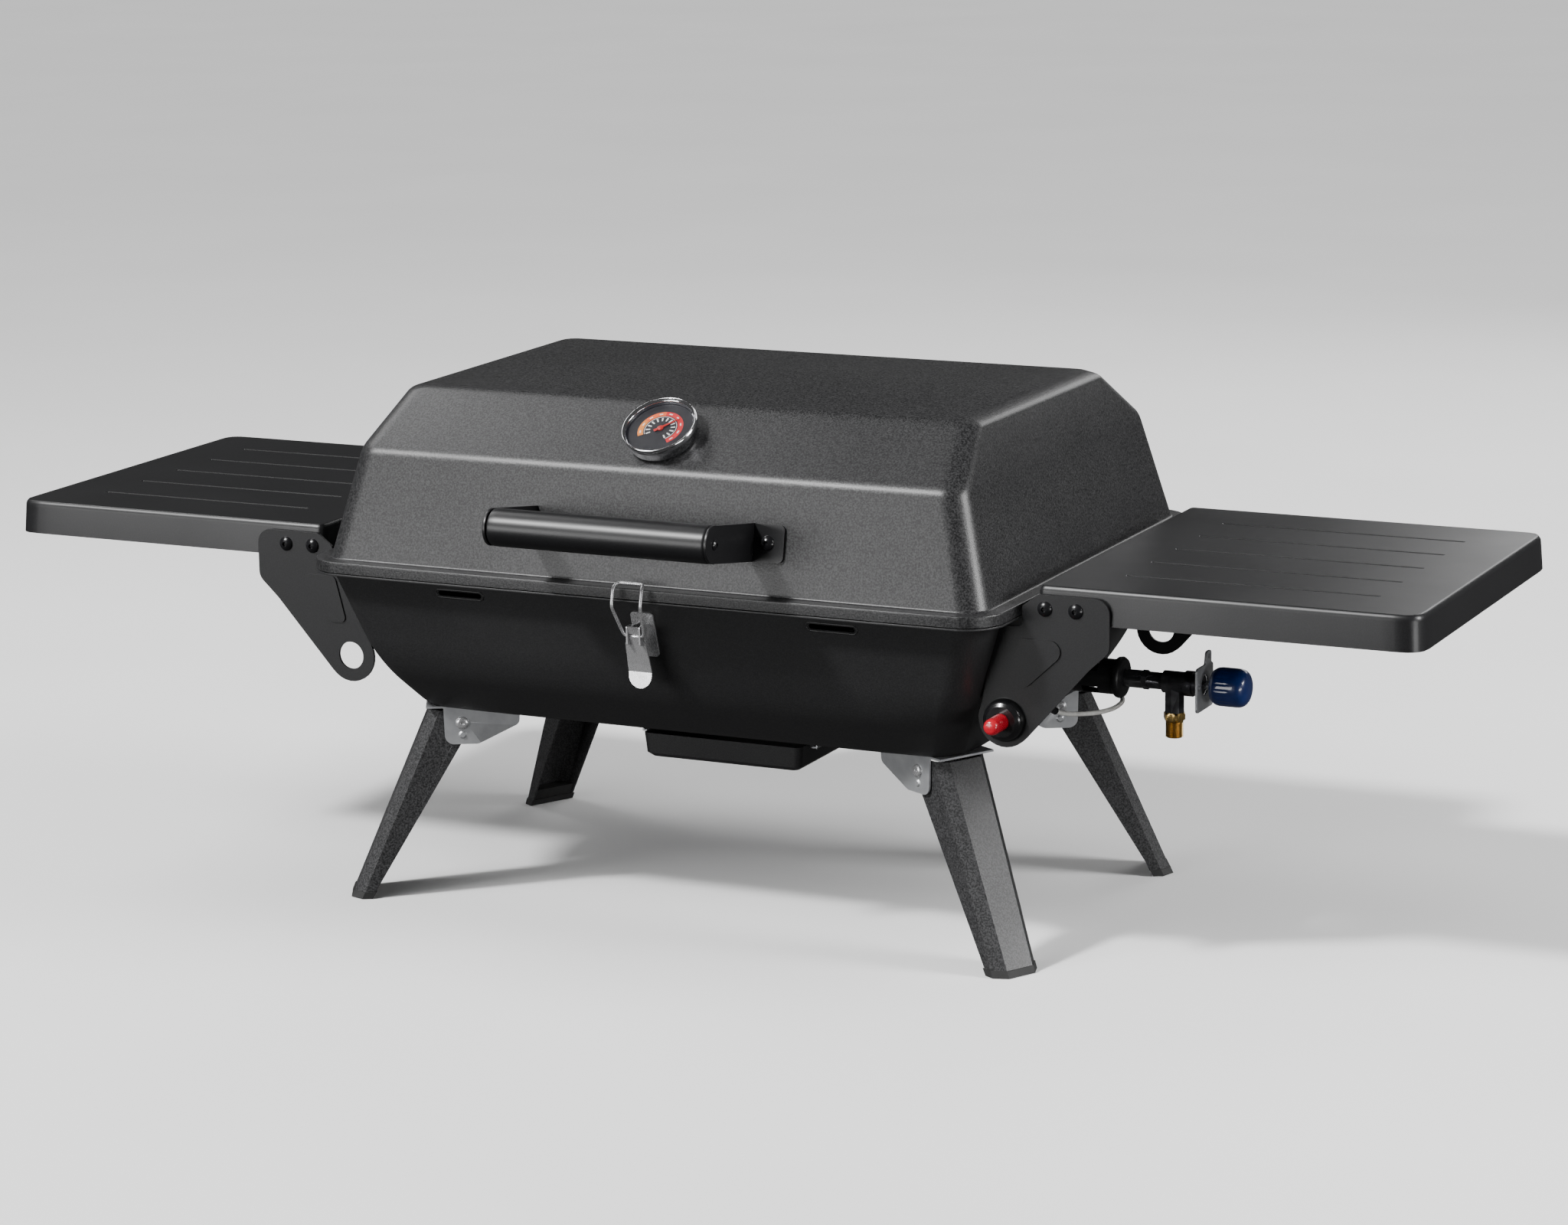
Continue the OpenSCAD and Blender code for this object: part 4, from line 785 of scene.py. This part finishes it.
shelf("right")
shelf("left")

# ---------------------------------------------------------------- handle and latch


GRIP_INSIDE, GRIP_ROUND = 0.03 * MM, 5 * MM
WIRE_R, WIRE_SLIM, BAR_GAP = 1.25 * MM, 0.98, 0.3 * MM


def handle():
    """Round grip with one rounded end and one chamfered end."""
    low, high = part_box("handle_tube")
    r = min(high.z - low.z, high.y - low.y) / 2 - GRIP_INSIDE
    length = high.x - low.x
    line = [(0.3 * MM, 0), (r - 0.4 * MM, 0), (r, GRIP_ROUND), (r, length - 1.6 * MM),
            (r - 0.5 * MM, length), (0.3 * MM, length)]
    profile = soften(line, [0, 4.5 * MM, 2 * MM, 0.6 * MM, 0.8 * MM, 0], 8)
    place = turned_to((1, 0, 0), (low.x, (low.y + high.y) / 2, (low.z + high.z) / 2))
    make("handle_grip", *lathe(profile, 72), "handle_paint", "lid", ["handle_tube"], 50, place=place)


def bail():
    """Wire loop from the lever up to the lid's lip, bent at its feet, knees and shoulders."""
    low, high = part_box("latch_bail")
    lid_low, lid_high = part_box("lid")
    wire = WIRE_R
    pivot = Vector(JOINT["latch_bail_pivot"]["pos_m"])
    bar_z = high.z - wire
    bar_y = middle("lid").y - (lid_high.y - lid_low.y) / 2 - wire - BAR_GAP
    wide = (high.x - low.x) / 2 - wire
    half = [
        (4.6 * MM, pivot.y, pivot.z), (7.4 * MM, pivot.y, pivot.z),
        (9 * MM, pivot.y - 2 * MM, pivot.z + 4.5 * MM),
        (wide, pivot.y - 12 * MM, pivot.z + 23 * MM), (wide, pivot.y - 8.6 * MM, bar_z - 2 * MM),
        (wide - 1.6 * MM, bar_y, bar_z), (0, bar_y, bar_z)]
    path = soften(half + [(-x, y, z) for x, y, z in reversed(half[:-1])], 3 * MM, 5)
    path = [Vector(p) for p in path]
    make("latch_wire", *tube(path, wire * WIRE_SLIM, 14), "stainless", "latch_bail", ["latch_bail"], 60)


handle()
bail()

# ---------------------------------------------------------------- thermometer


CASE_H, DIAL_UP, DIAL_FACE = 15 * MM, 5.18 * MM, 0.4 * MM
SCALE_START, SCALE_END, MARKS = 212, -52, 13
BANDS = ("orange", "orange", "amber", "amber", "red", "red", "red", "red", "red")
BAND_IN, BAND_OUT = 0.52, 0.68
POINTER_TURN, POINTER_REACH = math.radians(-48), 0.62


def gauge():
    """Bezel, dial, printed scale and needle, all drawn about the gauge's own axis."""
    face_lo, face_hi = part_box("gauge_dial")
    at = (face_lo + face_hi) / 2
    lean = math.atan2(LID_SLOPE_H - TOP_DROP, SLOPE_Y - TOP_ROUND)
    axis = Vector((0, -math.sin(lean), math.cos(lean)))
    tilt = Matrix.Rotation(lean, 4, "X")
    face = Matrix.Translation(at + axis * DIAL_FACE) @ tilt
    face_r = (face_hi.x - face_lo.x) / 2
    case_low, case_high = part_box("gauge_case")
    rim_r = (case_high.x - case_low.x) / 2
    h = CASE_H
    base = Matrix.Translation(at + axis * (DIAL_FACE - (h - DIAL_UP))) @ tilt
    wall = [
        (0.3 * MM, h - 6 * MM), (face_r, h - 6 * MM), (face_r + 0.1 * MM, h - 2 * MM),
        (rim_r - 1.7 * MM, h - 0.9 * MM), (rim_r - 0.8 * MM, h - 0.2 * MM),
        (rim_r, h - 1.4 * MM), (rim_r, h - 5 * MM), (rim_r - 2.5 * MM, h - 6 * MM),
        (rim_r - 3 * MM, 1.5 * MM), (rim_r - 5 * MM, 0.1 * MM), (0.3 * MM, 0.1 * MM)]
    rounds = [0, 0, 0.4 * MM, 1 * MM, 1 * MM, 0.8 * MM, 0.7 * MM, 0.5 * MM, 1 * MM, 1 * MM, 0]
    profile = soften(wall, rounds)
    make("gauge_bezel", *lathe(profile, 96), "chrome", "lid", smooth=40, place=base)
    stem = lathe([(4 * MM, -24 * MM), (4 * MM, 0.5 * MM)], 32)
    make("gauge_stem", *stem, "stainless", "lid", ["gauge_case"], 40, place=base)
    plate_r = face_r - 0.2 * MM
    plate = soften([(0.3 * MM, -0.8 * MM), (plate_r, -0.8 * MM), (plate_r, 0), (0.3 * MM, 0)], 0)
    make("gauge_face", *lathe(plate, 96), "dial", "lid", ["gauge_dial"], 40, place=face)
    printed_scale(face, face_r)
    needle(face, face_r)


def sector(r0, r1, a0, a1, low, high, steps=10):
    """Thin block of a ring between two radii and two angles in degrees."""
    angles = [math.radians(a0 + (a1 - a0) * k / steps) for k in range(steps + 1)]
    outline = [(r1 * math.cos(t), r1 * math.sin(t)) for t in angles]
    outline += [(r0 * math.cos(t), r0 * math.sin(t)) for t in reversed(angles)]
    return prism(outline, low, high)


def printed_scale(face, r):
    """Colour band from amber to red over most of a turn, with plain marks inside it."""
    start, end = SCALE_START, SCALE_END
    width = (end - start) / len(BANDS)
    ink = (0.01 * MM, 0.10 * MM)
    for i, colour in enumerate(BANDS):
        first, last = start + i * width, start + (i + 1) * width + 0.2
        solid = sector(r * BAND_IN, r * BAND_OUT, first, last, *ink)
        make(f"dial_band_{i}", *solid, "dial", "lid", material=PRINT[colour], place=face)
        angle = start + (i + 0.5) * width
        dash = sector(r * 0.58, r * 0.62, angle - 5, angle + 5, 0.02 * MM, 0.14 * MM)
        make(f"dial_dash_{i}", *dash, "dial", "lid", material=PRINT["white"], place=face)
    hair = sector(r * 0.475, r * 0.49, end, start, 0.01 * MM, 0.1 * MM, 60)
    make("dial_hairline", *hair, "dial", "lid", material=PRINT["white"], place=face)
    for i in range(MARKS):
        angle = start + (end - start) * i / (MARKS - 1)
        tick = sector(r * 0.31, r * 0.44, angle - 3.4, angle + 3.4, *ink)
        make(f"dial_mark_{i}", *tick, "dial", "lid", material=PRINT["white"], place=face)


def needle(face, r):
    """Red pointer with a domed hub, just above the dial."""
    place = face @ Matrix.Rotation(POINTER_TURN, 4, "Z")
    tip = r * POINTER_REACH
    outline = [(-1.1 * MM, -5 * MM), (1.1 * MM, -5 * MM), (0.9 * MM, 0), (0.25 * MM, tip),
               (-0.25 * MM, tip), (-0.9 * MM, 0)]
    verts, faces = prism(outline, 0.8 * MM, 1.2 * MM)
    cap = [(0.2 * MM, 0.2 * MM), (2.3 * MM, 0.2 * MM), (2.3 * MM, 1.3 * MM), (0.2 * MM, 1.7 * MM)]
    hub = lathe(soften(cap, [0, 0, 0.5 * MM, 0]), 32)
    offset = len(verts)
    verts = verts + hub[0]
    faces = faces + [tuple(i + offset for i in f) for f in hub[1]]
    make("gauge_pointer", verts, faces, "needle_red", "lid", ["gauge_needle"], 40, place=place)


gauge()

# ---------------------------------------------------------------- gas line and igniter


KNOB_FOOT, KNOB_WALL, DOME_FULL, DOME_STEPS = 6 * MM, 18 * MM, 0.72, 11
FLUTES, FLUTE_DEEP = 18, 0.32 * MM
KNOB_MARK_ANGLES = (-50, -20, 10)


def knob():
    """Blue knob with fine flutes, a full rounded end and three plain marks."""
    low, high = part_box("gas_knob")
    r, length = (high.z - low.z) / 2, high.x - low.x
    dome = []
    for k in range(1, DOME_STEPS + 1):
        t = math.radians(8 * k)
        rise = (length - KNOB_WALL) * math.sin(t) ** DOME_FULL
        dome.append((r * math.cos(t) ** DOME_FULL, KNOB_WALL + rise))
    line = [(0.3 * MM, 0), (r - 2.6 * MM, 0), (r - 0.6 * MM, 3 * MM), (r, KNOB_FOOT), (r, KNOB_WALL)]
    wall = soften(line, [0, 0.8 * MM, 1 * MM, 1 * MM, 0])
    ladder = [(r, KNOB_FOOT + (KNOB_WALL - KNOB_FOOT) * k / 10) for k in range(1, 10)]
    profile = wall[:-1] + ladder + [wall[-1]] + dome

    def flute(angle, radius, z):
        rise = max(0.0, min(1.0, (z - 4 * MM) / (2 * MM), (16 * MM - z) / (2 * MM)))
        return radius - FLUTE_DEEP * rise * max(0.0, math.cos(FLUTES * angle)) ** 2

    place = turned_to((1, 0, 0), (low.x, (low.y + high.y) / 2, (low.z + high.z) / 2))
    make("knob_shell", *lathe(profile, 216, flute), "knob_blue", "knob", ["gas_knob"], 50, place=place)
    centre = Vector((high.x, (low.y + high.y) / 2, (low.z + high.z) / 2))
    for i, angle in enumerate(KNOB_MARK_ANGLES):
        turn = math.radians(angle)
        reach = r * 0.62
        spot = centre + Vector((-2.2 * MM, -reach * math.cos(turn), reach * math.sin(turn)))
        out = Vector((1.0, -0.45 * math.cos(turn), 0.45 * math.sin(turn)))
        grow = 0.2 * MM * i
        pad = lathe(soften([(0.1 * MM, 0), (0.8 * MM + grow, 0), (0.7 * MM + grow, 0.5 * MM),
                            (0.1 * MM, 0.6 * MM)], 0), 20)
        make(f"knob_mark_{i}", *pad, "knob_blue", "knob", material=PRINT["white"],
             place=turned_to(out, spot - out.normalized() * 0.3 * MM))


HEX_H, HEX_R = 6 * MM, 8.4 * MM
THREAD_R, ROOT_R, PITCH, BORE_R = 6.578 * MM, 5.75 * MM, 1.337 * MM, 3.2 * MM


def inlet():
    """Brass hexagon with a cut thread below it."""
    low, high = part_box("gas_inlet")
    centre = (low + high) / 2
    length = high.z - low.z - HEX_H
    profile = [(BORE_R, 0.2 * MM), (ROOT_R - 0.3 * MM, 0)]
    for k in range(int(length / PITCH)):
        z = k * PITCH + 0.15 * MM
        profile += [(ROOT_R, z + 0.05 * MM), (THREAD_R, z + PITCH * 0.45), (THREAD_R, z + PITCH * 0.6)]
    profile += [(ROOT_R, length), (BORE_R, length)]
    make("inlet_thread", *lathe(profile, 48), "brass", "body", ["gas_inlet"], 25,
         place=Matrix.Translation((centre.x, centre.y, low.z)))

    def six(angle, radius, z):
        if radius < 5 * MM:
            return radius
        flat = math.cos(math.pi / 6) / math.cos((angle % (math.pi / 3)) - math.pi / 6)
        return min(radius, HEX_R * flat)

    nut = soften([(3 * MM, 0), (7.2 * MM, 0), (HEX_R, 1 * MM), (HEX_R, HEX_H - 1 * MM), (7.2 * MM, HEX_H),
                  (3 * MM, HEX_H)], 0)
    make("inlet_hexagon", *lathe(nut, 96, six), "brass", "body", smooth=25,
         place=Matrix.Translation((centre.x, centre.y, low.z + length)))


def igniter():
    """Long red button with a rounded end."""
    low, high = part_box("igniter_button")
    centre = (low + high) / 2
    r, length = (high.x - low.x) / 2, high.y - low.y
    profile = soften([(0.2 * MM, 0), (r, 0), (r, length - 4 * MM), (r - 1.4 * MM, length - 0.6 * MM),
                      (0.2 * MM, length)], [0, 0, 0.8 * MM, 2.2 * MM, 0], 6)
    make("button_cap", *lathe(profile, 64), "red_plastic", "igniter_button", ["igniter_button"], 50,
         place=turned_to((0, -1, 0), (centre.x, high.y, centre.z)))


LEAD_R, BOOT_R, BOOT_POINTS = 1.75 * MM, 2.7 * MM, 4


def lead():
    """White lead on the CAD route, with a black boot where it leaves the igniter."""
    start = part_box("igniter_body")[1].y
    x0, z0 = middle("igniter_body").x, middle("igniter_body").z
    y_mid = middle("lid").y
    gas_z = middle("venturi_cup").z
    half_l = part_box("lid")[1].x - LIP_OUT
    lead_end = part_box("electrode_ceramic")[1].x
    ey, ez = middle("electrode_ceramic").y, middle("electrode_ceramic").z
    run = start - y_mid
    route = [
        (x0, run, z0), (x0, run + 7 * MM, z0), (half_l + 3 * MM, run + 17 * MM, z0 - 4 * MM),
        (half_l + 7 * MM, run * 0.71, gas_z - 10.5 * MM), (half_l + 11 * MM, run * 0.55, gas_z - 16 * MM),
        (half_l + 16 * MM, run * 0.4, gas_z - 19 * MM), (half_l + 22 * MM, run * 0.27, gas_z - 20.5 * MM),
        (half_l + 27 * MM, run * 0.15, gas_z - 20.5 * MM), (half_l + 29 * MM, -6 * MM, gas_z - 19.5 * MM),
        (half_l + 28 * MM, 4 * MM, gas_z - 18.5 * MM), (half_l + 23 * MM, 13 * MM, gas_z - 16.5 * MM),
        (half_l + 15 * MM, 18 * MM, gas_z - 14.5 * MM), (half_l + 3 * MM, 18.5 * MM, gas_z - 11.5 * MM),
        (half_l - 9 * MM, ey - y_mid, ez), (half_l - 25 * MM, ey - y_mid, ez),
        (lead_end, ey - y_mid, ez)]
    path = smooth_path([(x, y + y_mid, z) for x, y, z in route], 5)
    make("lead_insulation", *tube(path, LEAD_R, 14), "lead_white", "body", ["ignition_lead"], 60)
    boot = smooth_path([(x, y + y_mid, z) for x, y, z in route[:BOOT_POINTS]], 5)
    make("lead_boot", *tube(boot, BOOT_R, 16), "black_plastic", "body", smooth=60)


knob()
inlet()
igniter()
lead()

# ---------------------------------------------------------------- carried CAD nodes

# Node: width in mm of the rounding on its sharp edges
BEVELS = {
    "leg_front_left": 0.7, "leg_front_right": 0.7, "leg_rear_left": 0.7, "leg_rear_right": 0.7,
    "leg_bracket_front_left": 0.35, "leg_bracket_front_right": 0.35, "leg_bracket_rear_left": 0.35,
    "leg_bracket_rear_right": 0.35, "side_arm_front_left": 0.5, "side_arm_front_right": 0.5,
    "side_arm_rear_left": 0.5, "side_arm_rear_right": 0.5, "valve_plate": 0.3, "valve_body": 0.4,
    "handle_bracket_left": 0.4, "handle_bracket_right": 0.4, "latch_lever": 0.3, "latch_base": 0.3,
    "cooking_grate": 0.8, "grease_tray": 0.4, "foot_front_left": 0.6, "foot_front_right": 0.6,
    "foot_rear_left": 0.6, "foot_rear_right": 0.6,
}


WELD_DIST, BEVEL_STEPS, BEVEL_ANGLE = 1e-6, 2, math.radians(30)


def carried():
    """Gives every CAD node that is still shown its material and welded faces, and soft edges to the nodes listed
    in BEVELS.
    """
    for name, obj in frame["nodes"].items():
        if obj.hide_render:
            continue
        obj.data.materials.clear()
        obj.data.materials.append(MATERIALS[SLOT_OF[name]])
        weld = obj.modifiers.new("weld", "WELD")
        weld.merge_threshold = WELD_DIST
        if name in BEVELS:
            bevel = obj.modifiers.new("bevel", "BEVEL")
            bevel.width = BEVELS[name] * MM
            bevel.segments = BEVEL_STEPS
            bevel.limit_method = "ANGLE"
            bevel.angle_limit = BEVEL_ANGLE
            bevel.harden_normals = True


carried()
